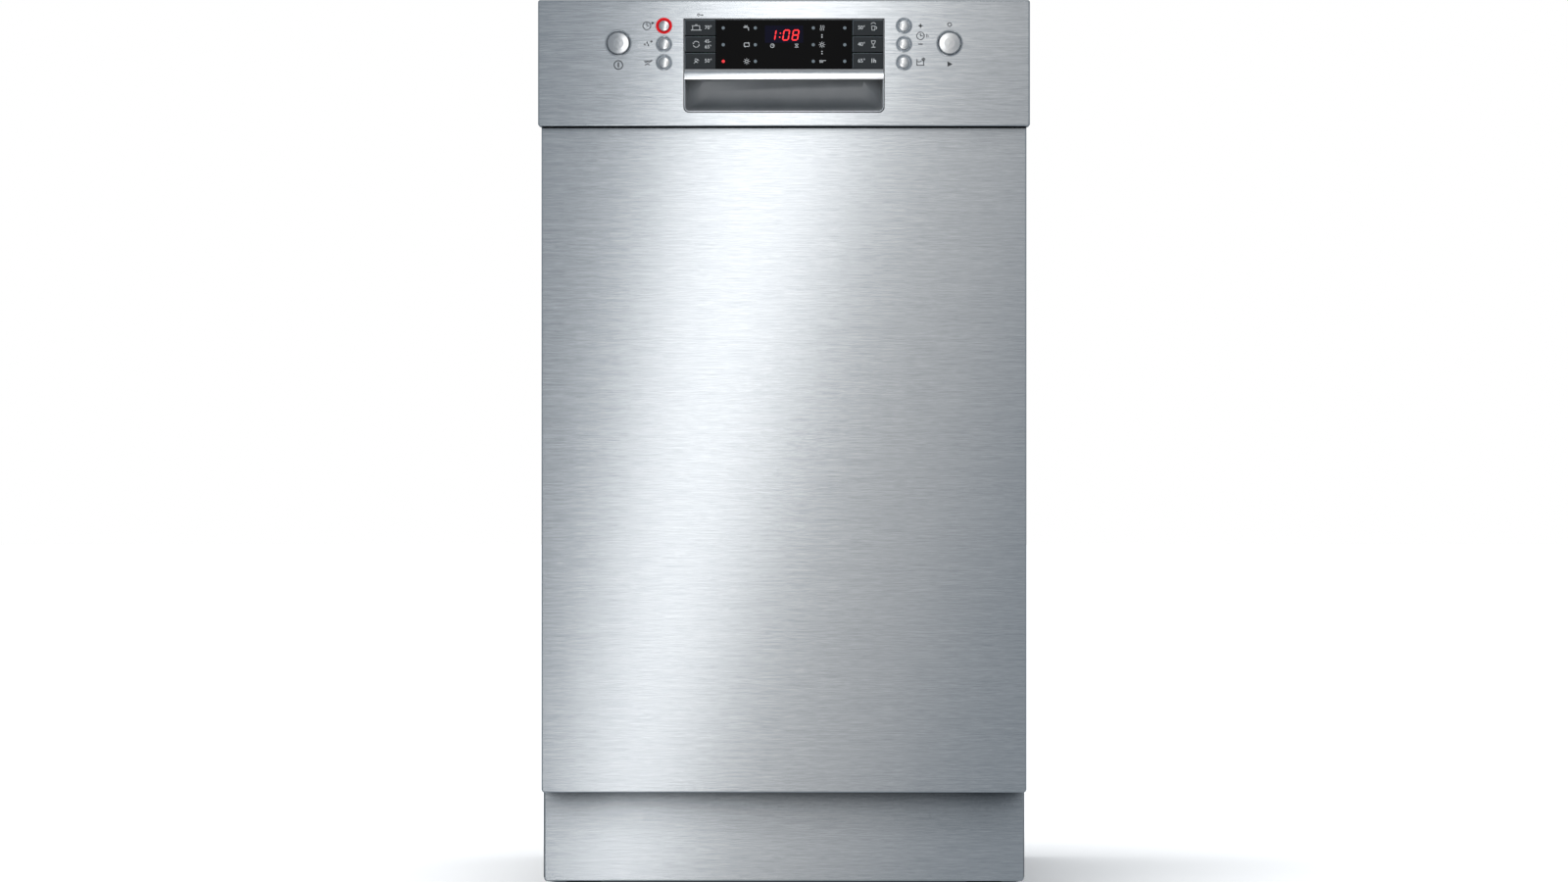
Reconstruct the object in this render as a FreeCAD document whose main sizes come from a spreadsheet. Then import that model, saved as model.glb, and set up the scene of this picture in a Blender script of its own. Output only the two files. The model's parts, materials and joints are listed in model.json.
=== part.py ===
"""A slim built-in dishwasher, 45 cm class, as an assembly of separate pieces.

The frame is in millimetres: X to the right as seen from the front, Y towards the back, Z up. The origin is
at the middle of the footprint, on the floor. The door is closed and its front faces -Y.
"""
import FreeCAD
import Part
import itertools
import math
import os
import Sketcher

V = FreeCAD.Vector

# Driving dimensions, in millimetres. Names that end in _y or _z are positions, the others are sizes.
SIZES = {
    # envelope
    "body_width": 448, "body_height": 815, "front_y": -286.5, "back_y": 286.5,
    # control fascia
    "fascia_y": -285, "fascia_depth": 23, "fascia_height": 115, "fascia_skin": 1,
    # door
    "door_width": 442, "door_y": -280, "door_depth": 18, "door_skin": 0.8, "door_base_z": 93,
    "liner_width": 424, "liner_y": -234, "bulge_y": -226, "bulge_width": 380, "liner_base_z": 112,
    "liner_top_z": 812, "hinge_y": -260, "hinge_z": 108, "hinge_pin_radius": 4,
    # display and handle insert
    "insert_width": 182.8, "insert_top_z": 798.1, "insert_base_z": 712.6, "display_base_z": 752,
    "grip_base_z": 742.7, "pocket_back_y": -260, "insert_wall": 1,
    "key_width": 28, "key_height": 14.3, "key_pitch": 15.1,
    # round buttons
    "big_button_x": 150.8, "big_button_z": 775.6, "big_button_radius": 9.7, "big_bezel_radius": 11.3,
    "small_button_x": 109.3, "small_button_z": 774.8, "small_button_pitch": 16.7,
    "small_button_radius": 4.9, "small_bezel_radius": 7.1, "button_back_y": -279,
    # tub
    "tub_width": 396, "tub_y": -229, "tub_back_y": 255, "tub_floor_z": 144, "tub_top_z": 780,
    "tub_skin": 0.8, "tub_corner": 12, "flange_half_width": 216, "flange_base_z": 128, "flange_top_z": 800,
    "seal_depth": 4.7, "seal_width": 9,
    # chassis
    "panel_skin": 0.8, "base_z": 12, "base_top_z": 128, "base_wall": 3, "base_y": -224, "base_back_y": 263,
    "base_half_width": 221, "plinth_width": 440, "plinth_y": -238, "plinth_base_z": 9.5, "plinth_top_z": 96,
    "rail_top_z": 813.5, "bracket_x": 150, "bracket_hole_radius": 2.6, "bracket_hole_y": -208,
    # feet
    "foot_x": 185, "foot_y": -190, "rear_foot_y": 225, "foot_pad_radius": 18, "foot_pad_height": 8,
    "stem_radius": 5, "stem_top_z": 100,
    # wash system
    "sump_y": 15, "sump_radius": 82, "sump_wall": 4, "sump_base_z": 60, "pipe_z": 72,
    "filter_x": 30, "filter_y": -18.5, "filter_radius": 30, "post_radius": 11,
    "lower_arm_z": 172, "lower_arm_radius": 166, "upper_arm_z": 403, "upper_arm_radius": 168,
    "arm_thickness": 13, "feed_radius": 9, "feed_y": 244, "feed_hole_y": 122, "manifold_z": 428,
    "salt_x": -142, "salt_y": 110, "salt_radius": 24,
    "inlet_x": 150, "inlet_radius": 13.2, "drain_x": -108, "drain_radius": 9.75, "rear_pipe_z": 72,
    # racks
    "rack_y": -205, "rack_back_y": 225, "wire": 4,
    "lower_rack_half_width": 176, "lower_rack_z": 204, "lower_rack_top_z": 340,
    "upper_rack_half_width": 174, "upper_rack_z": 440, "upper_rack_top_z": 548, "rail_z": 494,
    "wheel_radius": 16, "wheel_z": 161.6, "wheel_x": 176, "wheel_width": 8, "wheel_front_y": -165,
    "wheel_back_y": 185,
    "basket_x": -170, "basket_width": 88, "basket_y": -150, "basket_length": 250, "basket_height": 122,
    # dispenser on the inside of the door
    "dispenser_width": 170, "dispenser_z": 320, "dispenser_height": 150,
}


class Size:
    """A length that knows both its number and the formula that binds it to the sheet."""

    def __init__(self, number, text):
        self.number, self.text = number, text

    def _join(self, other, sign, number, swap=False):
        texts = [self.text, text_of(other)]
        first, second = reversed(texts) if swap else texts
        return Size(number, f"({first} {sign} {second})")

    def __add__(self, other):
        return self._join(other, "+", self.number + float(other))

    def __sub__(self, other):
        return self._join(other, "-", self.number - float(other))

    def __mul__(self, other):
        return self._join(other, "*", self.number * float(other))

    def __truediv__(self, other):
        return self._join(other, "/", self.number / float(other))

    def __rsub__(self, other):
        return self._join(other, "-", float(other) - self.number, swap=True)

    def __neg__(self):
        return Size(-self.number, f"(-1 * {self.text})")

    def __float__(self):
        return float(self.number)

    __radd__, __rmul__ = __add__, __mul__


def text_of(value):
    return value.text if isinstance(value, Size) else repr(float(value))


def make_sheet(doc):
    """The spreadsheet of driving dimensions, and an object with a Size for each of its cells."""
    sheet = doc.addObject("Spreadsheet::Sheet", "Dims")
    for row, (alias, number) in enumerate(SIZES.items(), start=1):
        sheet.set(f"A{row}", alias.replace("_", " "))
        sheet.set(f"B{row}", str(number))
        sheet.setAlias(f"B{row}", alias)
    doc.recompute()

    class Dims:
        pass

    for alias in SIZES:
        setattr(Dims, alias, Size(float(sheet.get(alias)), f"Dims.{alias}"))
    return Dims


doc = FreeCAD.newDocument("dishwasher")
d = make_sheet(doc)
HALF = d.body_width / 2
FASCIA_BASE = d.body_height - d.fascia_height
SIDE_IN = HALF - 1 - d.panel_skin
pieces = []


# ---- building blocks -------------------------------------------------------------------------------------


def bind(obj, path, value):
    """Sets a property from a number, or binds it to the sheet."""
    if isinstance(value, Size):
        obj.setExpression(path, value.text)
    elif "." in path:
        obj.setExpression(path, repr(float(value)))
    else:
        setattr(obj, path, float(value))


def place(obj, at):
    for letter, value in zip("xyz", at):
        bind(obj, f"Placement.Base.{letter}", value)
    return obj


def keep(obj, label):
    """Marks a finished object as the sub-part of that name."""
    obj.Label = label
    pieces.append(obj)
    return obj


def box(xs, ys, zs):
    """A block from three (low, high) pairs."""
    made = doc.addObject("Part::Box", "Block")
    for side, (low, high) in zip(("Length", "Width", "Height"), (xs, ys, zs)):
        bind(made, side, high - low)
    return place(made, (xs[0], ys[0], zs[0]))


TURNS = {
    "X": FreeCAD.Rotation(V(0, 1, 0), 90),
    "Y": FreeCAD.Rotation(V(1, 0, 0), -90),
    "Z": FreeCAD.Rotation(),
}


def rod(axis, radius, at, span):
    """A round bar along an axis. at is its two other coordinates, in X, Y, Z order."""
    made = doc.addObject("Part::Cylinder", "Rod")
    bind(made, "Radius", radius)
    bind(made, "Height", span[1] - span[0])
    made.Placement = FreeCAD.Placement(V(), TURNS[axis])
    spot = list(at)
    spot.insert("XYZ".index(axis), span[0])
    return place(made, spot)


def fuse(*shapes):
    made = doc.addObject("Part::MultiFuse", "Join")
    made.Shapes = list(shapes)
    made.Refine = True
    return made


def cut(base, *tools):
    made = doc.addObject("Part::Cut", "Cut")
    made.Base, made.Tool = base, tools[0] if len(tools) == 1 else fuse(*tools)
    made.Refine = True
    return made


def mirrored(shape):
    made = doc.addObject("Part::Mirroring", "Mirror")
    made.Source, made.Normal = shape, V(1, 0, 0)
    return made


def pair(shape):
    """The piece and its mirror image on the other side, as two separate solids."""
    made = doc.addObject("Part::Compound", "Pair")
    made.Links = [shape, mirrored(shape)]
    return made


def group(*shapes):
    made = doc.addObject("Part::Compound", "Group")
    made.Links = list(shapes)
    return made


def diced(shape, xs=(), ys=(), zs=()):
    """Splits a hollow piece along planes into touching solids, so that none of them wraps round a hollow."""
    doc.recompute()
    whole = shape.Shape
    bound = whole.BoundBox
    ends = ((bound.XMin, bound.XMax), (bound.YMin, bound.YMax), (bound.ZMin, bound.ZMax))
    spans = []
    for (low, high), planes in zip(ends, (xs, ys, zs)):
        stops = [low - 1, *planes, high + 1]
        spans.append(list(zip(stops, stops[1:])))
    cells = []
    for x, y, z in itertools.product(*spans):
        size = [float(high - low) for low, high in (x, y, z)]
        if whole.common(Part.makeBox(*size, V(float(x[0]), float(y[0]), float(z[0])))).Volume < 0.01:
            continue
        cell = doc.addObject("Part::Common", "Cell")
        cell.Base, cell.Tool = shape, box(x, y, z)
        cells.append(cell)
    return group(*cells)


def fixed(shape, name="Shape"):
    """A shape made with Part's own functions from the sheet's numbers."""
    made = doc.addObject("Part::Feature", name)
    made.Shape = shape
    return made


def rounded(base, radius, pick):
    """Rounds the edges of an object that pick accepts."""
    doc.recompute()
    made = doc.addObject("Part::Fillet", "Rounded")
    made.Base = base
    made.Edges = [(i + 1, radius, radius) for i, e in enumerate(base.Shape.Edges) if pick(e)]
    return made


def pipe(points, radius, bend, bore=0.0):
    """A round tube along straight runs joined by tangent arcs."""
    points = [V(*(float(c) for c in p)) for p in points]
    edges, start = [], points[0]
    for before, corner, after in zip(points, points[1:], points[2:]):
        come, go = (before - corner).normalize(), (after - corner).normalize()
        half = come.getAngle(go) / 2
        back = bend / math.tan(half)
        first, last = corner + come * back, corner + go * back
        middle = corner + (come + go).normalize() * (bend / math.sin(half) - bend)
        edges.append(Part.LineSegment(start, first).toShape())
        edges.append(Part.Arc(first, middle, last).toShape())
        start = last
    edges.append(Part.LineSegment(start, points[-1]).toShape())
    path = Part.Wire(edges)
    heading = points[1] - points[0]

    def swept(size):
        ring = Part.Wire(Part.makeCircle(size, points[0], heading))
        return path.makePipeShell([ring], True, True)

    outer = swept(float(radius))
    return outer.cut(swept(float(bore))) if bore else outer


class Piece:
    """A PartDesign body built from bound sketches."""

    def __init__(self, label):
        self.body = doc.addObject("PartDesign::Body", label)
        self.planes = {p.Role: p for p in self.body.Origin.OriginFeatures}

    def sketch(self, plane, offset, outlines):
        made = self.body.newObject("Sketcher::SketchObject", "Sketch")
        made.AttachmentSupport = [(self.planes[plane + "_Plane"], "")]
        made.MapMode = "FlatFace"
        bind(made, "AttachmentOffset.Base.z", offset)
        for outline in outlines:
            outline(made)
        return made

    def feature(self, kind, sketch, length=None):
        made = self.body.newObject("PartDesign::" + kind, kind)
        made.Profile = sketch
        if length is not None:
            bind(made, "Length", length)
        doc.recompute()
        return made

    def pad(self, plane, span, *outlines):
        offset = -span[1] if plane == "XZ" else span[0]
        self.feature("Pad", self.sketch(plane, offset, outlines), span[1] - span[0])
        return self

    def pocket(self, plane, span, *outlines):
        """Cuts the outlines between two places along the plane's normal."""
        before = self.body.Shape.Volume
        offset = -span[0] if plane == "XZ" else span[1]
        self.feature("Pocket", self.sketch(plane, offset, outlines), span[1] - span[0])
        if self.body.Shape.Volume > before - 1e-3:
            raise RuntimeError(f"a pocket in {self.body.Name} cuts nothing")
        return self

    def spin(self, profile, kind="Revolution"):
        """Turns a profile in the body's own XZ plane about its Z axis."""
        sketch = self.sketch("XZ", 0, [polygon(profile)])
        made = self.body.newObject("PartDesign::" + kind, kind)
        made.Profile = sketch
        made.ReferenceAxis = (sketch, ["V_Axis"])
        made.Angle = 360
        doc.recompute()
        return self

    def round(self, radius, pick, kind="Fillet"):
        """Rounds or bevels the edges that pick accepts."""
        tip = self.body.Tip
        names = [f"Edge{i + 1}" for i, e in enumerate(tip.Shape.Edges) if pick(e)]
        made = self.body.newObject("PartDesign::" + kind, kind)
        made.Base = (tip, names)
        bind(made, "Radius" if kind == "Fillet" else "Size", radius)
        doc.recompute()
        return self

    def hollow(self, skin, pick):
        """Turns the solid into a shell of that thickness, open at the faces that pick accepts."""
        tip = self.body.Tip
        names = [f"Face{i + 1}" for i, f in enumerate(tip.Shape.Faces) if pick(f)]
        made = self.body.newObject("PartDesign::Thickness", "Thickness")
        made.Base = (tip, names)
        bind(made, "Value", skin)
        made.Reversed = True
        doc.recompute()
        return self

    def around(self, axis, count):
        """Repeats the last feature evenly about an origin axis."""
        made = self.body.newObject("PartDesign::PolarPattern", "Around")
        made.Originals = [self.body.Tip]
        made.Axis = (self.planes[axis + "_Axis"], [""])
        made.Angle, made.Occurrences = 360, count
        self.body.Tip = made
        doc.recompute()
        return self

    def at(self, spot, turn="Z"):
        self.body.Placement = FreeCAD.Placement(V(), TURNS[turn])
        return place(self.body, spot) and self


def pin_point(sketch, geometry, end, spot):
    """Holds a point of a sketch at its bound place."""
    for kind, value in zip(("DistanceX", "DistanceY"), spot):
        index = sketch.addConstraint(Sketcher.Constraint(kind, -1, 1, geometry, end, float(value)))
        if isinstance(value, Size):
            sketch.setExpression(f"Constraints[{index}]", value.text)


def polygon(corners):
    """A closed outline of straight lines through the corners."""

    def draw(sketch):
        spots = [V(float(x), float(y), 0) for x, y in corners]
        first = sketch.GeometryCount
        count = len(spots)
        for i in range(count):
            sketch.addGeometry(Part.LineSegment(spots[i], spots[(i + 1) % count]))
        for i, corner in enumerate(corners):
            after = first + (i - 1) % count
            sketch.addConstraint(Sketcher.Constraint("Coincident", first + i, 1, after, 2))
            pin_point(sketch, first + i, 1, corner)

    return draw


def rectangle(xs, ys):
    (x0, x1), (y0, y1) = xs, ys
    return polygon([(x0, y0), (x1, y0), (x1, y1), (x0, y1)])


def circle(spot, radius):
    def draw(sketch):
        centre = V(float(spot[0]), float(spot[1]), 0)
        index = sketch.addGeometry(Part.Circle(centre, V(0, 0, 1), float(radius)))
        size = sketch.addConstraint(Sketcher.Constraint("Radius", index, float(radius)))
        if isinstance(radius, Size):
            sketch.setExpression(f"Constraints[{size}]", radius.text)
        pin_point(sketch, index, 3, spot)

    return draw


def both(value):
    return (-value, value)


def along(axis):
    """Picks straight edges that run along an axis."""
    wanted = {"X": V(1, 0, 0), "Y": V(0, 1, 0), "Z": V(0, 0, 1)}[axis]

    def pick(edge):
        if len(edge.Vertexes) < 2:
            return False
        run = edge.Vertexes[1].Point - edge.Vertexes[0].Point
        return abs(run.dot(wanted)) > edge.Length * 0.999

    return pick


def at_plane(axis, place_on_axis):
    """Picks edges or faces that lie wholly at one place along an axis."""
    number = "XYZ".index(axis)

    def pick(shape):
        bound = shape.BoundBox
        low, high = ((bound.XMin, bound.XMax), (bound.YMin, bound.YMax), (bound.ZMin, bound.ZMax))[number]
        return abs(low - float(place_on_axis)) < 0.01 and abs(high - float(place_on_axis)) < 0.01

    return pick


# ---- door ------------------------------------------------------------------------------------------------


def side_lips(outer, zs):
    """Outlines of the narrow returns that close the door's edges beside the liner, left and right."""
    inner = d.liner_width / 2 + 1.5
    return [rectangle((inner, outer), zs), rectangle((-outer, -inner), zs)]


def fascia_panel():
    """The folded control fascia, open behind, with the insert's opening and a hole for each bezel."""
    piece = Piece("fascia_panel")
    ys = (d.fascia_y, d.fascia_y + d.fascia_depth)
    piece.pad("XZ", ys, rectangle(both(HALF), (FASCIA_BASE, d.body_height)))
    piece.round(2.2, along("Y"))
    piece.round(1.4, at_plane("Y", ys[0]))
    piece.hollow(d.fascia_skin, at_plane("Y", ys[1]))
    half = d.insert_width / 2 + 0.2
    holes = [rectangle(both(half), (d.insert_base_z - 0.2, d.insert_top_z + 0.2))]
    for x, z, _, bezel in button_places():
        holes.append(circle((x, z), bezel + 0.1))
    piece.pocket("XZ", (d.fascia_y - 1, d.fascia_y + 3), *holes)
    lip_ends = (FASCIA_BASE + 3, d.body_height - 3)
    piece.pad("XZ", (ys[1] - d.fascia_skin, ys[1]), *side_lips(HALF - 0.5, lip_ends))
    keep(piece.body, "fascia_panel")


def door_outer_panel():
    """The folded outer skin below the fascia, with notches in its lower return for the hinge brackets."""
    piece = Piece("door_outer_panel")
    ys = (d.door_y, d.door_y + d.door_depth)
    piece.pad("XZ", ys, rectangle(both(d.door_width / 2), (d.door_base_z, FASCIA_BASE - 0.5)))
    piece.round(3.0, lambda e: along("Y")(e) and e.BoundBox.ZMax < 200)
    piece.round(1.2, at_plane("Y", ys[0]))
    piece.hollow(d.door_skin, at_plane("Y", ys[1]))
    notch = (d.door_width / 2 - 9, d.door_width / 2 - 0.8)
    piece.pocket(
        "XY",
        (d.door_base_z - 1, d.door_base_z + 2),
        rectangle(notch, (d.door_y + 4, ys[1] + 1)),
        rectangle((-notch[1], -notch[0]), (d.door_y + 4, ys[1] + 1)),
    )
    lip_ends = (d.hinge_z + 27, FASCIA_BASE - 1)
    piece.pad("XZ", (ys[1] - d.door_skin, ys[1]), *side_lips(d.door_width / 2 - 0.4, lip_ends))
    keep(piece.body, "door_outer_panel")


def door_inner_liner():
    """The steel inner pan, with its bulge into the tub, the dispenser's cut-out and the latch notch."""
    piece = Piece("door_inner_liner")
    ys = (d.liner_y - 28, d.liner_y)
    zs = (d.liner_base_z, d.liner_top_z)
    piece.pad("XZ", ys, rectangle(both(d.liner_width / 2), zs))
    bulge = (d.tub_floor_z + 4, d.tub_top_z - 8)
    piece.pad("XZ", (d.liner_y, d.bulge_y), rectangle(both(d.bulge_width / 2), bulge))
    piece.round(14, lambda e: along("Y")(e) and e.BoundBox.YMin > -235 and e.BoundBox.YMax > -230)
    piece.round(3, at_plane("Y", d.bulge_y))
    piece.hollow(d.door_skin, at_plane("Y", ys[0]))
    hole = (d.dispenser_z + 12, d.dispenser_z + d.dispenser_height - 12)
    piece.pocket(
        "XZ",
        (d.bulge_y - 3, d.bulge_y + 1),
        rectangle(both(d.dispenser_width / 2 - 10), hole),
    )
    piece.pocket("XZ", (d.liner_y - 4, d.liner_y + 1), rectangle(both(14), (zs[1] - 22, zs[1] + 1)))
    keep(piece.body, "door_inner_liner")


def handle_pocket():
    """The insert's moulding: a frame round the display above, and the recessed finger grip below it."""
    half = d.insert_width / 2
    front, back = d.fascia_y + 0.3, d.pocket_back_y
    low, high = d.insert_base_z, d.insert_top_z
    piece = Piece("handle_pocket")
    piece.pad("XZ", (front, back), rectangle(both(half), (low, high)))
    piece.round(4.4, lambda e: along("Y")(e) and e.BoundBox.ZMax < float(low) + 1)
    piece.round(1.2, lambda e: along("Y")(e) and e.BoundBox.ZMin > float(high) - 1)
    wall = d.insert_wall
    inner = half - wall
    piece.pocket("XZ", (front - 1, back - 3), rectangle(both(inner), (d.display_base_z, high - wall)))
    cavity = [
        (front - 1, low + wall),
        (front + 13, low + wall),
        (back - 3, low + wall + 9),
        (back - 3, d.display_base_z - 6),
        (front + 12, d.display_base_z - 3),
        (front + 5, d.grip_base_z),
        (front - 1, d.grip_base_z),
    ]
    piece.pocket("YZ", (-inner, inner), polygon(cavity))
    keep(piece.body, "handle_pocket")


def display_window():
    piece = Piece("display_window")
    half = d.insert_width / 2 - d.insert_wall - d.key_width - 0.4
    zs = (d.display_base_z + 0.2, d.insert_top_z - d.insert_wall - 0.2)
    piece.pad("XZ", (d.fascia_y + 0.4, d.fascia_y + 2.9), rectangle(both(half), zs))
    piece.round(0.2, at_plane("Y", d.fascia_y + 0.4))
    keep(piece.body, "display_window")


KEY_ROWS = ("upper", "middle", "lower")


def programme_keys():
    """Two columns of three rectangular keys, one on each side of the display."""
    outer = d.insert_width / 2 - d.insert_wall - 0.2
    top = d.insert_top_z - d.insert_wall - 0.2
    for side, sign in (("left", -1), ("right", 1)):
        for row, height in enumerate(KEY_ROWS):
            label = f"key_{side}_{height}"
            piece = Piece(label)
            xs = sorted((outer * sign, (outer - d.key_width) * sign), key=float)
            high = top - d.key_pitch * row
            piece.pad("XZ", (d.fascia_y + 0.1, d.fascia_y + 5), rectangle(xs, (high - d.key_height, high)))
            piece.round(0.4, at_plane("Y", d.fascia_y + 0.1))
            keep(piece.body, label)


def button_places():
    """(x, z, button radius, bezel radius) of the eight round buttons, left to right and top to bottom."""
    rows = (1, 0, -1)
    small = [(d.small_button_z + d.small_button_pitch * r) for r in rows]
    sizes = (d.small_button_radius, d.small_bezel_radius)
    places = [(-d.big_button_x, d.big_button_z, d.big_button_radius, d.big_bezel_radius)]
    places += [(-d.small_button_x, z, *sizes) for z in small]
    places += [(d.small_button_x, z, *sizes) for z in small]
    places += [(d.big_button_x, d.big_button_z, d.big_button_radius, d.big_bezel_radius)]
    return places


BUTTON_NAMES = (
    "button_power", "button_left_upper", "button_left_middle", "button_left_lower",
    "button_right_upper", "button_right_middle", "button_right_lower", "button_start",
)


def round_buttons():
    """Eight domed buttons, each turned about its own axis, which points forwards."""
    for label, (x, z, radius, _) in zip(BUTTON_NAMES, button_places()):
        big = float(radius) > 6
        front = d.front_y if big else d.front_y + 0.2
        depth = d.button_back_y - front
        profile = [
            (0, 0), (radius - 1.2, 0), (radius - 1.2, 2), (radius, 2.5), (radius, depth - 1.0),
            (radius - 0.5, depth - 0.45), (radius * 0.5, depth - 0.1), (0, depth),
        ]
        piece = Piece(label).spin(profile)
        piece.body.Placement = FreeCAD.Placement(V(), FreeCAD.Rotation(V(1, 0, 0), 90))
        place(piece.body, (x, d.button_back_y, z))
        keep(piece.body, label)


def button_bezels():
    """The fixed trim ring round each button."""
    rings = []
    for x, z, radius, bezel in button_places():
        ring = rod("Y", bezel, (x, z), (d.fascia_y - 0.3, d.fascia_y + 4))
        rings.append(cut(ring, rod("Y", radius + 0.25, (x, z), (d.fascia_y - 1, d.fascia_y + 5))))
    keep(group(*rings), "button_bezels")


def control_board():
    """The circuit board behind the display, with its relay, chip and connector."""
    back = d.fascia_y + 12.5
    board = box(both(84), (back, back + 1.6), (d.display_base_z + 4, d.insert_top_z - 4))
    relay = box((40, 58), (back + 1.6, back + 8), (760, 776))
    chip = box((-12, 2), (back + 1.6, back + 3), (766, 780))
    plug = box((-70, -44), (back + 1.6, back + 8), (758, 766))
    keep(fuse(board, relay, chip, plug), "control_board")


def hinge_arms():
    """The two steel arms screwed to the liner's sides, which turn on the hinge pins."""
    xs = (d.liner_width / 2 + 0.2, d.liner_width / 2 + 3.2)
    y, z = d.hinge_y, d.hinge_z
    strap = box(xs, (y, y + 20), (z, z + 200))
    hub = rod("X", 11, (y, z), xs)
    tail_end = rod("X", 4, (y + 30, z + 10), xs)
    tail = box(xs, (y, y + 30), (z + 6, z + 14))
    peg = rod("X", 2, (y + 30, z + 10), (xs[0] - 6.5, xs[1]))
    bore = rod("X", d.hinge_pin_radius + 0.06, (y, z), (xs[0] - 1, xs[1] + 1))
    holes = [rod("X", 2.2, (y + 10, z + up), (xs[0] - 1, xs[1] + 1)) for up in (60, 180)]
    keep(pair(cut(fuse(strap, hub, tail_end, tail, peg), bore, *holes)), "hinge_arms")


def latch_catch():
    """The sprung lever in the door's top edge, whose nose holds the strike plate on the chassis."""
    z = d.liner_top_z - 15
    lever = box(both(5), (-255, -237), (z - 4, z + 3))
    nose = box(both(5), (-245, -239), (z + 2, z + 5.2))
    boss = rod("X", 5, (-253, z), both(5))
    pin = rod("X", 2.2, (-253, z), both(9))
    keep(fuse(lever, nose, boss, pin), "latch_catch")


def dispenser():
    """The detergent and rinse-aid unit set into the liner, with its sliding lid and quarter-turn cap."""
    face = d.bulge_y + 3
    half = d.dispenser_width / 2
    zs = (d.dispenser_z, d.dispenser_z + d.dispenser_height)
    body = Piece("dispenser_body")
    body.pad("XZ", (d.bulge_y, face), rectangle(both(half), zs))
    body.round(8, along("Y"))
    body.round(1.2, at_plane("Y", face))
    inner = (zs[0] + 13, zs[1] - 13)
    body.pad("XZ", (d.bulge_y - 24, d.bulge_y), rectangle(both(half - 11), inner))
    body.pocket("XZ", (d.bulge_y - 22, face + 1), rectangle((-58, 0), (zs[0] + 16, zs[0] + 72)))
    body.pocket("XZ", (face - 1.5, face + 1), circle((48, zs[0] + 100), 21))
    guides = [rectangle((x, x + 2.6), (zs[0] + 8, zs[1] - 8)) for x in (-66, 5.4)]
    body.pad("XZ", (face, face + 3.4), *guides)
    keep(body.body, "dispenser_body")
    lid = Piece("dispenser_lid")
    lid.pad("XZ", (face + 0.3, face + 3.1), rectangle((-62.4, 4.4), (zs[0] + 10, zs[0] + 76)))
    lid.round(1, at_plane("Y", face + 3.1))
    for step in range(4):
        rib = (zs[0] + 22 + 4 * step, zs[0] + 23.6 + 4 * step)
        lid.pad("XZ", (face + 3.1, face + 4), rectangle((-46, -12), rib))
    keep(lid.body, "dispenser_lid")
    cap = Piece("rinse_aid_cap")
    cap.spin([(0, 0), (20.4, 0), (20.4, 3), (19.4, 4), (0, 4)])
    cap.pad("XY", (4, 8.5), rectangle(both(16), both(3)))
    cap.round(1.4, at_plane("Z", 8.5))
    cap.body.Placement = FreeCAD.Placement(V(), TURNS["Y"])
    place(cap.body, (48, face - 1.3, zs[0] + 100))
    keep(cap.body, "rinse_aid_cap")


# ---- tub and chassis -------------------------------------------------------------------------------------


def tub():
    """The washing chamber, one welded sheet box with a flange round its front."""
    skin, front = d.tub_skin, d.tub_y
    piece = Piece("Chamber")
    xs = both(d.tub_width / 2 + skin)
    zs = (d.tub_floor_z - skin, d.tub_top_z + skin)
    piece.pad("XZ", (front, d.tub_back_y + skin), rectangle(xs, zs))
    piece.hollow(skin, at_plane("Y", front))

    def edges_from(half_width, back):
        def pick(edge):
            bound = edge.BoundBox
            side = max(abs(bound.XMin), abs(bound.XMax))
            lengthwise = along("Y")(edge) and abs(side - float(half_width)) < 0.1
            return lengthwise or at_plane("Y", back)(edge)

        return pick

    piece.round(d.tub_corner, edges_from(d.tub_width / 2, d.tub_back_y))
    piece.round(d.tub_corner + skin, edges_from(d.tub_width / 2 + skin, d.tub_back_y + skin))
    opening = (both(d.tub_width / 2), (d.tub_floor_z, d.tub_top_z))
    flange = rectangle(both(d.flange_half_width), (d.flange_base_z, d.flange_top_z))
    piece.pad("XZ", (front, front + skin), flange, rectangle(*opening))
    piece.pocket(
        "XY",
        (d.tub_floor_z - 3, d.tub_floor_z + 1),
        circle((0, d.sump_y), d.sump_radius - d.sump_wall),
        circle((0, d.feed_hole_y), d.feed_radius + 0.5),
        circle((d.salt_x, d.salt_y), d.salt_radius + 0.3),
    )
    bend = d.tub_corner + 2
    keep(
        diced(
            piece.body,
            both(d.tub_width / 2 - bend),
            (front + skin, d.tub_back_y - bend),
            (d.tub_floor_z + bend, d.tub_top_z - bend),
        ),
        "tub",
    )


def door_seal():
    """The soft gasket on the tub's flange, round both sides and the top, and the lip below the opening."""
    inner, width = d.tub_width / 2 + 1.5, d.seal_width
    outer = inner + width
    ys = (d.tub_y - d.seal_depth, d.tub_y)
    top = d.tub_top_z + 1.5
    piece = Piece("Gasket")
    u_shape = [
        (-outer, 134), (-inner, 134), (-inner, top), (inner, top),
        (inner, 134), (outer, 134), (outer, top + width), (-outer, top + width),
    ]
    piece.pad("XZ", ys, polygon(u_shape))
    piece.round(6, lambda e: along("Y")(e) and e.BoundBox.ZMin > float(top) + 5)
    piece.round(1.6, at_plane("Y", ys[0]))
    lip = box(both(inner - 4), (d.tub_y - 3, d.tub_y), (129.5, 135.5))
    keep(group(diced(piece.body, both(inner), (), [top]), lip), "door_seal")


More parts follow.
